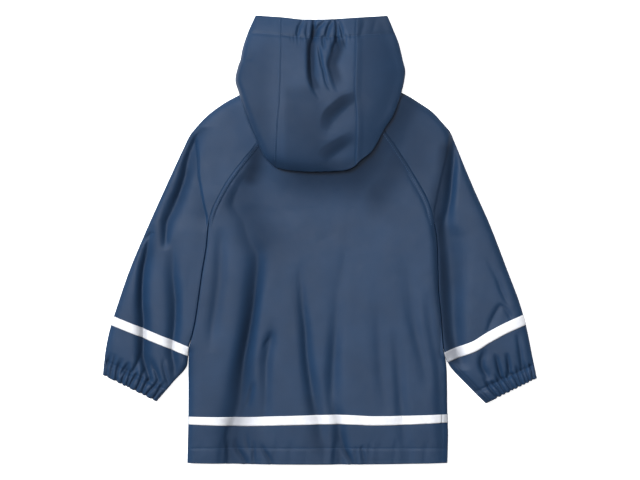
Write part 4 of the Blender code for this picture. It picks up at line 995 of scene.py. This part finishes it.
# Painted shade on the floors of the hood's folds: points (x, y, share of painted shade) along an edge, width,
# how it fades
HOOD_PAINTED_SHADE = [
    ([(-21, 304, 0), (-21, 294, 0.9), (-21, 262, 0.9), (-21, 242, 0.8), (-17.8, 233, 0.8),
      (-14, 224, 0.7), (-9, 214, 0)], 10.5, 6.0),
    ([(24, 304, 0), (21, 296, 0.8), (14.5, 278, 0.9), (11, 269, 0.9), (9, 260, 0.9), (11, 251, 0.8),
      (14, 242, 0.7), (17, 233, 0.5), (22, 223, 0)], 11.0, 11.0),
    ([(56, 224, 0), (48, 219.4, 0.4), (34, 215, 0.8), (26, 210.5, 0.9), (18.5, 204, 0.9),
      (8.5, 195.5, 0.9), (2.5, 187.9, 0.8), (-0.5, 178.9, 0.7), (-1.3, 169.9, 0.5),
      (0, 156, 0)], 11.0, 14.0),
    ([(48, 164, 0), (38, 158, 0.4), (25, 151, 0.65), (13, 144, 0.65), (3, 138, 0.6), (-4, 130, 0.5),
      (-10, 120, 0)], 12.0, 14.0),
]


def painted_floor_shade(x, y):
    """Share of painted shade on the wide floors of the hood's folds: it begins at the foot of the steep wall
    and fades towards the far side."""
    total = np.zeros(np.shape(x))
    for points, wide, fade in HOOD_PAINTED_SHADE:
        share, s = value_along(x, y, points)
        total = np.maximum(total, share * ease((s + 1.5) / 4) * (1 - ease((s - wide) / fade)))
    return total


def painted_hood_shade(x, y):
    """Share of painted shade: in the folds, on their wide floors, over the middle panel's left half below the
    tongue, over the left side and towards the hood's lower end."""
    middle = 0.34 * ease((x + 58) / 12) * ease((16 - x) / 24) * ease((233 - y) / 16)
    left = 0.32 * ease((-62 - x) / 26) * ease((300 - y) / 40)
    foot = 0.5 * ease((128 - y) / 18)
    floors = painted_floor_shade(x, y) * ease((54 - x) / 4)
    return np.max([painted_crease_shade(hood_folds(x, y), 8.0, 0.8), middle, left, foot, floors], axis=0)


def hood_seams(x, y):
    """Each seam is a narrow groove with a raised, stitched allowance on its outer side; the rim's casing is
    a puffed band that ends in a stitched groove."""
    total = np.zeros(np.shape(x))
    for rows_of, sign, depth in ((SEAM_LEFT, -1, 0.2), (SEAM_RIGHT, 1, 0.7)):
        s = sign * (x - curve(rows_of, y))
        total += depth * (ease((s + 0.4) / 2.0) * (1 - ease((s - 3.0) / 9.0)) - 0.5 * bump(s, 1.0))
    from_rim = curve(RIM, x) - y
    puff = 0.6 * np.sin(np.pi * np.clip(from_rim / CASING, 0, 1)) ** 0.8
    return total + (puff - 0.8 * bump(from_rim - CASING, 1.8))


def hood_top(x, y):
    """Height of the hood's upper side: from the fold at its edges up to the crown, each edge as
    1 - exp(-distance / run). The edges' own heights blend across by the share of the distance to each."""
    left, right, foot = (nearest(x, y, line)[0] for line in (HOOD_EDGE_LEFT, HOOD_EDGE_RIGHT, HOOD_FOOT))
    share = left / np.maximum(left + right, 1)
    edge = curve(HOOD_LEFT_TOP, y) * (1 - share) + curve(HOOD_RIGHT_TOP, y) * share
    rise = curve(HOOD_CROWN, y) - edge
    for distance, reach in ((left, HOOD_RUN_LEFT), (right, HOOD_RUN_RIGHT), (foot, HOOD_RUN_FOOT)):
        rise = rise * (1 - np.exp(-distance / reach))
    roll = 1.5 * bump(right - 3, 8) * ease((y - 150) / 40)
    return edge + rise + roll + hood_folds(x, y) + hood_seams(x, y)


def plain_top(x, y):
    """The coat's upper layer as the hood lies on it."""
    outer = np.min([nearest(x, y, edge)[0] for edge in OUTER_EDGES[:2]], axis=0)
    return EDGE_HEIGHT + LOFT * (1 - np.exp(-outer / 30.0)) + mound(x, y)


def nape_height(x, y, gap=LAY_GAP):
    return plain_top(x, y) + gap


def way_in(points):
    """Unit vectors square to a line of points, to its left hand."""
    along = unit(np.gradient(points, axis=0))
    return np.stack([-along[:, 1], along[:, 0]], -1)


def run(start, end, steps):
    """Straight rows from each start to its end."""
    t = np.linspace(0, 1, steps + 1)[None, :, None]
    return start[:, None] * (1 - t) + end[:, None] * t


# Columns close to the seam, as distances and, where the panel is narrow, as shares
HOOD_NEAR = np.array([[0, 0.25, 1.2, 2.4, 3.6, 4.8, 6.2, 7.6]])
HOOD_NEAR_SHARE = np.array([[0, 0.05, 0.2, 0.34, 0.5, 0.66, 0.83, 1]])


def hood_side(name, sign, edge_rows, seam_rows, shoulder, tone=0.0):
    """A side of the hood: from the seam on top out to the fold at the edge, round it, and underneath either
    along the face's edge on the floor or, below the shoulder, over the shoulder and back to the neck
    seam."""
    share = np.linspace(0, 1, HOOD_ROWS)
    top, foot = edge_rows[0][0], edge_rows[-1][0]
    to_shoulder, to_foot = top - shoulder, top - foot
    edge_share = share.copy()
    k = int(np.searchsorted(share, to_shoulder / to_foot)) - 1
    edge_share[k], edge_share[k + 1] = (to_shoulder - 1.6) / to_foot, (to_shoulder + 1.6) / to_foot
    edge_y = top + (foot - top) * edge_share
    edge = np.stack([curve(edge_rows, edge_y), edge_y], -1)
    inward = way_in(edge) * (1 if sign < 0 else -1)
    rim_y = curve(RIM, curve(seam_rows, 335))
    seam_y = rim_y + (foot + TOP_DEPTH - rim_y) * share
    seam = np.stack([curve(seam_rows, seam_y) + sign * HOOD_GAP / 2, seam_y], -1)
    inset, inset_top = edge + FOLD_DEPTH * inward, edge + TOP_DEPTH * inward
    foot_x = curve(seam_rows, foot) + sign * HOOD_GAP / 2
    inset[-1] = (foot_x, foot + FOLD_DEPTH)
    inset_top[-1] = seam[-1]
    edge[-1] = (foot_x, foot)
    width = np.linalg.norm(inset_top - seam, axis=1)[:, None]
    near = np.minimum(HOOD_NEAR, width * 0.3 * HOOD_NEAR_SHARE)
    far = near[:, -1:] + (width - near[:, -1:]) * np.linspace(0, 1, 31)[None, 1:]
    step = np.concatenate([near, far], 1) / np.maximum(width, 1e-6)
    upper = with_height(mixed(seam, inset_top, step), hood_top)
    lows = np.where(np.arange(HOOD_ROWS) <= k, 0.0, nape_height(inset[:, 0], inset[:, 1]))
    strip = turn(edge, unit(edge - inset), upper[:, -1, 2], lows, 1, -1, TURN_STEPS)
    strip[:, 0] = upper[:, -1]
    strip[:, -1] = with_height(inset, lows)

    neck_x = np.array([NECK_HALF, 32.0, CHIN])
    neck_y = NECK - (NECK - NECK_FRONT) * (1 - neck_x / NECK_HALF) ** NECK_CURVE
    neck_side = np.array([sign * -NECK_SIDE[0], NECK_SIDE[1]], float)
    face_table = np.array([(sign * -px, py) for px, py in FACE_EDGE], float)
    face_table[0] = edge[0] + (FOLD_DEPTH + 4.0) * inward[0]
    down = np.linspace(0, 1, k + 1)
    face = at_points(down, np.linspace(0, 1, 5), face_table)
    top_knee = np.array([-sign * FACE_KNEE[0], FACE_KNEE[1]], float)
    knee = top_knee + (neck_side + (0, 1.8) - top_knee) * down[:, None]
    knee[0] = (inset[0] + face[0]) / 2
    lower = np.concatenate([run(inset[: k + 1], knee, 6), run(knee, face, 6)[:, 1:]], 1)
    shift = np.array([-sign * 0.4, 0.35])
    neck_line = np.stack([sign * neck_x, neck_y], -1) + shift
    points = np.concatenate([[neck_side + (0, 1.8)], neck_line])
    lower[-1, 6:] = at_points(np.linspace(0, 3, 7), range(4), points)
    lower = with_height(lower, 0.0)

    t = np.linspace(0, 1, HOOD_ROWS - k - 1)
    neck_point = np.array([sign * NECK_HALF + sign * HOOD_GAP / 2, NECK])
    target = neck_point + (inset[-1] - neck_point) * t[:, None]
    straight = run(inset[k + 1 :], target, 12)
    bent = np.concatenate([
        run(inset[k + 1 : k + 2], neck_side[None], 6), run(neck_side[None], neck_point[None], 6)[:, 1:],
    ], 1)
    blend = ((1 - t) ** 4)[:, None, None]
    nape = straight * (1 - blend) + bent * blend
    nape[:, 0] = inset[k + 1 :]
    nape = with_height(nape, nape_height)
    nape[0, 7:, 2] += NAPE_GAP - LAY_GAP
    nape[:, 0, 2] = lows[k + 1 :]
    casing = np.linalg.norm(upper[:, 0, :2] - upper[0, 0, :2], axis=1) < CASING
    cloth = Cloth()
    # Painted shade on the upper side, at least tone all over; the fold round the edge gets tone
    dark = np.maximum(painted_hood_shade(upper[..., 0], upper[..., 1]), tone)
    cloth.grid(upper, np.where(casing, HEM_WALL, WALL)[:, None], dark)
    cloth.grid(strip, dark=tone)
    cloth.grid(lower)
    cloth.grid(np.stack([lower[-1, :7], nape[0, :7]]))
    cloth.grid(nape)
    piece = cloth.piece(name + "_shell", NAVY)
    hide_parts(name)
    return piece


hood_left = hood_side("hood_side_left", -1, HOOD_LEFT, SEAM_LEFT, 217.0)
# The right side takes 0.27 of painted shade all over, as it faces away from the light
hood_right = hood_side("hood_side_right", 1, HOOD_RIGHT, SEAM_RIGHT, 222.0, 0.27)

share = np.concatenate([[0, 0.0022], np.linspace(0, 1, 76)[1:-1], [0.9978, 1]])
fraction = np.concatenate([np.linspace(0, 0.16, 26), np.linspace(0.16, 1, 108)[1:]])[:, None]
foot_left, foot_right = curve(SEAM_LEFT, HOOD_FOOT_LEFT), curve(SEAM_RIGHT, HOOD_FOOT_RIGHT)
foot_x = foot_left + HOOD_GAP / 2 + (foot_right - foot_left - HOOD_GAP) * share
foot_y = curve(HOOD_FOOT, foot_x)
foot_y[0], foot_y[-1] = HOOD_FOOT_LEFT, HOOD_FOOT_RIGHT
rim_left, rim_right = curve(RIM, SEAM_LEFT[0][1]), curve(RIM, SEAM_RIGHT[0][1])
level_left = rim_left + (HOOD_FOOT_LEFT + TOP_DEPTH - rim_left) * fraction
level_right = rim_right + (HOOD_FOOT_RIGHT + TOP_DEPTH - rim_right) * fraction
first, last = curve(SEAM_LEFT, level_left) + HOOD_GAP / 2, curve(SEAM_RIGHT, level_right) - HOOD_GAP / 2
x = first + (last - first) * share
y = curve(RIM, x) + (foot_y + TOP_DEPTH - curve(RIM, x)) * fraction
upper = with_height(np.stack([x, y], -1), hood_top)
f = np.linspace(0, 1, 24)[:, None]
nape_x = (HOOD_GAP / 2 - NECK_HALF) + (2 * NECK_HALF - HOOD_GAP) * share
x = upper[-1:, :, 0] + (nape_x - upper[-1:, :, 0]) * f
first_y = foot_y + FOLD_DEPTH
nape_y = NECK - 4 * (1 - np.abs(2 * share - 1) ** 2)
y = first_y + (nape_y - first_y) * f
lower = np.stack([x, y, nape_height(x, y, LAY_GAP + (NAPE_GAP - LAY_GAP) * (f > 0.99))], -1)
edge = upper[-1, :, :2] - (0, TOP_DEPTH)
strip = turn(edge, (0, -1), upper[-1, :, 2], lower[0, :, 2], 1, -1, TURN_STEPS)
whole = np.concatenate([upper[:-1], strip.transpose(1, 0, 2), lower[1:]])
walls_of = np.full(len(whole), WALL)
walls_of[: int((fraction[:, 0] * HOOD_LENGTH < CASING).sum())] = HEM_WALL
# Painted shade on the upper side only
dark = np.zeros(whole.shape[:2])
dark[: len(upper)] = painted_hood_shade(upper[..., 0], upper[..., 1])
centre = Cloth()
centre.grid(whole, walls_of[:, None], dark)
hood_centre = centre.piece("hood_centre_shell", NAVY)
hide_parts("hood_centre")


# Tapes --------------------------------------------------------------------------------------------


def strip_on(name, points, node_name, outward, dark=0.0):
    """A tape over a grid of a panel's own points, moved out along its normals by TAPE_RISE and given a wall.
    dark is the share of painted grey shade in the dips."""
    along, across_it = np.gradient(points, axis=1), np.gradient(points, axis=0)
    normal = unit(np.cross(along, across_it))
    if normal[0, 0] @ np.array(outward, float) < 0:
        normal = -normal
    cloth = Cloth()
    cloth.grid(points + normal * TAPE_RISE, TAPE_WALL, dark)
    piece = cloth.piece(name, TAPE, outward)
    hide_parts(node_name)
    return piece


TAPE_STEPS = np.linspace(0, 1, 9)  # rows across the tape
TAPE_MIDDLE = 4  # the row in its middle
TAPE_Y = -270  # height at which its ends and side seams are placed
TAPE_END = 23.5  # how far from the middle the fronts' tapes stop on the underside
TAPE_UPPER = [(-200, -265.4), (-118, -266.4), (-60, -264.6), (32, -262.6), (84, -264.6), (190, -262.2)]
TAPE_LOWER = [(-200, -276.8), (-118, -279.8), (-60, -278.4), (32, -276.8), (84, -278.4), (190, -274.4)]


def tape_ys(x, t=TAPE_STEPS):
    """Heights between the tape's two edges at x, by shares t."""
    return curve(TAPE_UPPER, x) * (1 - t) + curve(TAPE_LOWER, x) * t


def tape_bed(x, y):
    """Height of the cloth that the tape lies on: the coat and its folds."""
    return coat_top(x, y) + back_folds(x, y)


def hem_tape_rows(x_of):
    """Rows of points between the tape's two edges, on top of the coat."""
    ys = tape_ys(x_of, TAPE_STEPS[:, None])
    return with_height(np.stack([np.broadcast_to(x_of, ys.shape), ys], -1), tape_bed)


def flat_tape_rows(xs, ys):
    """The same rows on the underside, flat at TAPE_RISE."""
    flat_x, flat_y = np.broadcast_arrays(xs[None], ys[:, None])
    return np.stack([flat_x, flat_y, np.full(flat_x.shape, TAPE_RISE)], -1)


def painted_tape_shade(x, y):
    """Share of painted grey shade: where the back dips below its mean height, and at both ends, where the
    tape turns round the sides."""
    ends = np.maximum(0.6 * ease((x - 178) / 4), 0.6 * ease((-193 - x) / 4))
    return np.maximum(0.95 * ease((-back_folds(x, y) - 1.0) / 8), ends)


def round_side(ys, sign):
    """The same rows carried round a side's folded edge and on underneath."""
    edge_x = side_x(ys.ravel(), sign)
    edge = np.stack([edge_x, ys.ravel()], -1)
    inset_x = edge_x - sign * TOP_DEPTH
    top = tape_bed(inset_x, ys.ravel())
    low = np.full(top.shape, TAPE_RISE)
    return turn(edge, (sign, 0), top, low, 1, -1, 14)


right_seam_x = curve(SIDE_RIGHT, TAPE_Y) - SIDE_SEAM_OVER
left_ys = tape_ys(-196)
ring = round_side(left_ys, -1)[:, ::-1]
seam_x = ring[:, :1].copy()
seam_x[..., 0] += SIDE_SEAM_UNDER
x_of = np.linspace(ring[TAPE_MIDDLE, -1, 0], right_seam_x - SEAM_GAP / 2, 190)
rows_top = hem_tape_rows(x_of)
whole = np.concatenate([seam_x, ring[:, :-1], rows_top], 1)
# Painted grey shade in the tape's dips and at its ends
painted_grey = painted_tape_shade(whole[..., 0], whole[..., 1])
tape_back = strip_on("tape_hem_back_strip", whole, "tape_hem_back", (0, 0, -1), painted_grey)
right_ys = tape_ys(186)
ring = round_side(right_ys, 1)
x_of = np.linspace(right_seam_x + SEAM_GAP / 2, ring[TAPE_MIDDLE, 0, 0], 4)
rows_top = hem_tape_rows(x_of)
flat = flat_tape_rows(np.linspace(ring[TAPE_MIDDLE, -1, 0], TAPE_END, 40)[1:], right_ys)
whole = np.concatenate([rows_top[:, :-1], ring, flat], 1)
# The whole strip takes 0.6 of painted grey shade, as it turns round the side
tape_right = strip_on("tape_hem_front_right_strip", whole, "tape_hem_front_right", (0, 0, 1), 0.6)
left_seam_x = curve(SIDE_LEFT, TAPE_Y) + FOLD_DEPTH + SIDE_SEAM_UNDER + SEAM_GAP
flat = flat_tape_rows(np.linspace(left_seam_x, -TAPE_END, 40), left_ys)
tape_left = strip_on("tape_hem_front_left_strip", flat, "tape_hem_front_left", (0, 0, -1))


def sleeve_tape(name, whole, place, key, dark, node_name, sway):
    """A tape round the sleeve between two stations: rows taken from the sleeve's own grid, with a sideways
    sway."""
    low, high = key[TAPE_STATIONS[0]], key[TAPE_STATIONS[1]]
    columns = whole.shape[1]
    at = low + (high - low) * TAPE_STEPS[:, None] + curve(sway, np.arange(columns) / (columns - 1))[None]
    i = np.clip(np.searchsorted(place, at) - 1, 0, len(place) - 2)
    f = ((at - place[i]) / (place[i + 1] - place[i]))[..., None]
    column = np.broadcast_to(np.arange(columns), at.shape)
    points = whole[i, column] * (1 - f) + whole[i + 1, column] * f
    # Painted grey shade: more than twice the sleeve's painted shade, at most all of it
    return strip_on(name, points, node_name, (0, 0, 1), np.minimum(2.2 * dark[i, column], 1))


tape_sleeve_left = sleeve_tape(
    "tape_sleeve_left_strip", *left_grid, "tape_sleeve_left", [(0, 0), (0.5, 0), (1, 0)]
)
tape_sleeve_right = sleeve_tape(
    "tape_sleeve_right_strip", *right_grid, "tape_sleeve_right",
    [(0, 0), (0.1, 0.5), (0.26, 3.2), (0.36, 0.6), (0.5, -1.0), (0.7, 0), (1, 0)],
)


# Stitches and studs -------------------------------------------------------------------------------


def stitches(name, paths, height, pitch=3.4, length=2.5, radius=0.34):
    """Rows of thread: each stitch is a spindle of six sides along its path, sunk at both ends. Its centre
    follows the path at the surface's height; its sections have radius * sqrt(1 - s^2) for s from -1 to
    1."""
    points, faces, count = [], [], 0
    s = np.array([-1.0, -0.8, -0.4, 0.0, 0.4, 0.8, 1.0])
    ring = np.arange(6) * np.pi / 3
    for path in paths:
        path = np.array(path, float)
        along = lengths(path)
        middle_at = np.arange(pitch, along[-1] - pitch, pitch)
        at = middle_at[:, None] + s[None] * length / 2
        flat = at_points(at, along, path)
        z = height(flat[..., 0], flat[..., 1]) + radius * 0.5 - 0.5 * radius * s[None] ** 4
        ahead = unit(flat[:, -1] - flat[:, 0])
        square = np.stack([-ahead[:, 1], ahead[:, 0]], -1)[:, None, None]
        wide = (radius * np.sqrt(np.maximum(1 - s**2, 0.02)))[None, :, None]
        xy = flat[:, :, None] + square * (wide * np.cos(ring))[..., None]
        zz = z[:, :, None] + wide * np.sin(ring)
        block = np.concatenate([xy, zz[..., None]], -1)
        points.append(block.reshape(-1, 3))
        index = np.arange(block[..., 0].size).reshape(block.shape[:3]) + count
        count += index.size
        first, last = index[:, 0], index[:, -1]
        faces += [ring_faces(index), first[:, [3, 2, 1, 0]], first[:, [0, 5, 4, 3]]]
        faces += [last[:, [0, 1, 2, 3]], last[:, [3, 4, 5, 0]]]
    return made(name, np.concatenate(points), np.concatenate(faces), THREAD)


def beside(line, distance):
    """The same line moved square to itself by that distance."""
    line = np.array(line, float)
    return line + distance * way_in(line)


def line_between(xs, y_of):
    return np.stack([xs, y_of + 0 * xs], -1)


raglan_left, raglan_right = outline(INNER_LEFT, 18, 172, 60), outline(INNER_RIGHT, 18, 172, 60)
stitches(
    "stitches_body",
    [
        beside(raglan_left, WELT - 0.4), beside(raglan_right, -WELT + 0.4),
        line_between(np.linspace(-192, 178, 120), HEM_STITCH),
    ],
    back_height,
)
hood_lines = np.linspace(330, 116, 90)
stitches(
    "stitches_hood",
    [
        np.stack([curve(SEAM_LEFT, hood_lines) - 2.4, hood_lines], -1),
        np.stack([curve(SEAM_RIGHT, hood_lines) + 2.4, hood_lines], -1),
        np.stack([np.linspace(-88, 92, 90), curve(RIM, np.linspace(-88, 92, 90)) - CASING + 0.6], -1),
    ],
    hood_top,
)


def lathe(y_at, z_at, profile, sides=40):
    """A turned stud: a profile of (radius, height) carried round and closed at both ends."""
    angle = np.linspace(0, 2 * np.pi, sides + 1)[:-1]
    profile = np.array(profile, float)
    r, h = profile[:, :1], profile[:, 1:]
    points = np.stack([r * np.cos(angle), y_at + r * np.sin(angle), z_at + h + 0 * angle], -1)
    return points.reshape(-1, 3), ring_faces(np.arange(angle.size * len(profile)).reshape(-1, sides))


CAP = [(0.02, 0.25), (1.6, 0.25), (2.2, 0.0), (4.6, 0.0), (5.4, 0.15), (5.9, 0.5), (6.0, 0.9),
       (5.6, 1.2), (3.0, 1.2), (0.02, 1.2)]
BACK_CAP = [(0.02, 0.0), (2.4, 0.0), (2.5, 0.35), (3.4, 0.35), (4.4, 0.4), (4.9, 0.7), (5.0, 1.0),
            (4.6, 1.2), (0.02, 1.2)]
for k in range(STUDS):
    y_at = STUD_FIRST + STUD_STEP * k
    for kind, z_at, profile in (("stud_cap", 0.0, CAP), ("stud_back", LAP_RISE + WALL + 0.3, BACK_CAP)):
        points, faces = lathe(y_at, z_at, profile)
        stud = made(f"{kind}_{k + 1}_turned", points, faces, STUD)
        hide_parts(f"{kind}_{k + 1}")


# Camera, light and floor --------------------------------------------------------------------------

FIELD = 0.960  # metres of coat across the picture
DISTANCE = 3.0
FLOOR_Z = -0.0006  # just below the coat, so that no two faces share a plane
camera_data = bpy.data.cameras.new("camera")
camera_data.sensor_width = 36.0
camera_data.lens = 36.0 * DISTANCE / FIELD
camera = bpy.data.objects.new("camera", camera_data)
camera.location = (-0.0003, -0.0011, DISTANCE + 0.008)
bpy.context.scene.collection.objects.link(camera)
bpy.context.scene.camera = camera


def softbox(name, place, size, watts):
    """An area light, as wide and as tall as size says, turned to the coat's middle."""
    data = bpy.data.lights.new(name, "AREA")
    data.shape, data.size, data.size_y, data.energy = "RECTANGLE", *size, watts
    lamp = bpy.data.objects.new(name, data)
    lamp.location = place
    lamp.rotation_euler = (-Vector(place)).to_track_quat("-Z", "Y").to_euler()
    bpy.context.scene.collection.objects.link(lamp)
    return lamp


key = softbox("key", (-4.8, 3.8, 5.6), (3.0, 3.0), 1130)
key.visible_glossy = False  # a matt card in its line of sight: it models the folds and adds no glare
softbox("top", (-0.7, 1.9, 8.0), (4.0, 6.0), 345)
card_up = softbox("card_up", (-1.2, 6.4, 8.0), (5.0, 3.0), 140)
card_left = softbox("card_left", (-3.7, 1.9, 8.0), (2.0, 6.0), 115)
for card in (card_up, card_left):
    card.visible_diffuse = False  # pale cards beside the softbox: they only widen its sheen
world = bpy.data.worlds.new("studio")
world.use_nodes = True
world.node_tree.nodes["Background"].inputs["Color"].default_value = (1, 1, 1, 1)
world.node_tree.nodes["Background"].inputs["Strength"].default_value = 0.10
bpy.context.scene.world = world
bpy.context.scene.view_settings.view_transform = "Standard"

floor_mesh = bpy.data.meshes.new("floor")
corners = [(-6, -6, FLOOR_Z), (6, -6, FLOOR_Z), (6, 6, FLOOR_Z), (-6, 6, FLOOR_Z)]
floor_mesh.from_pydata(corners, [], [(0, 1, 2, 3)])
floor_look = {
    "Base Color": linear("#F7F7F7"), "Roughness": 0.9,
    "Emission Color": linear("#FFFFFF"), "Emission Strength": 0.8,  # a lit table: hardly any shadow
}
floor_mesh.materials.append(material("matt_white_paint", floor_look)[0])
floor = bpy.data.objects.new("floor", floor_mesh)
bpy.context.scene.collection.objects.link(floor)
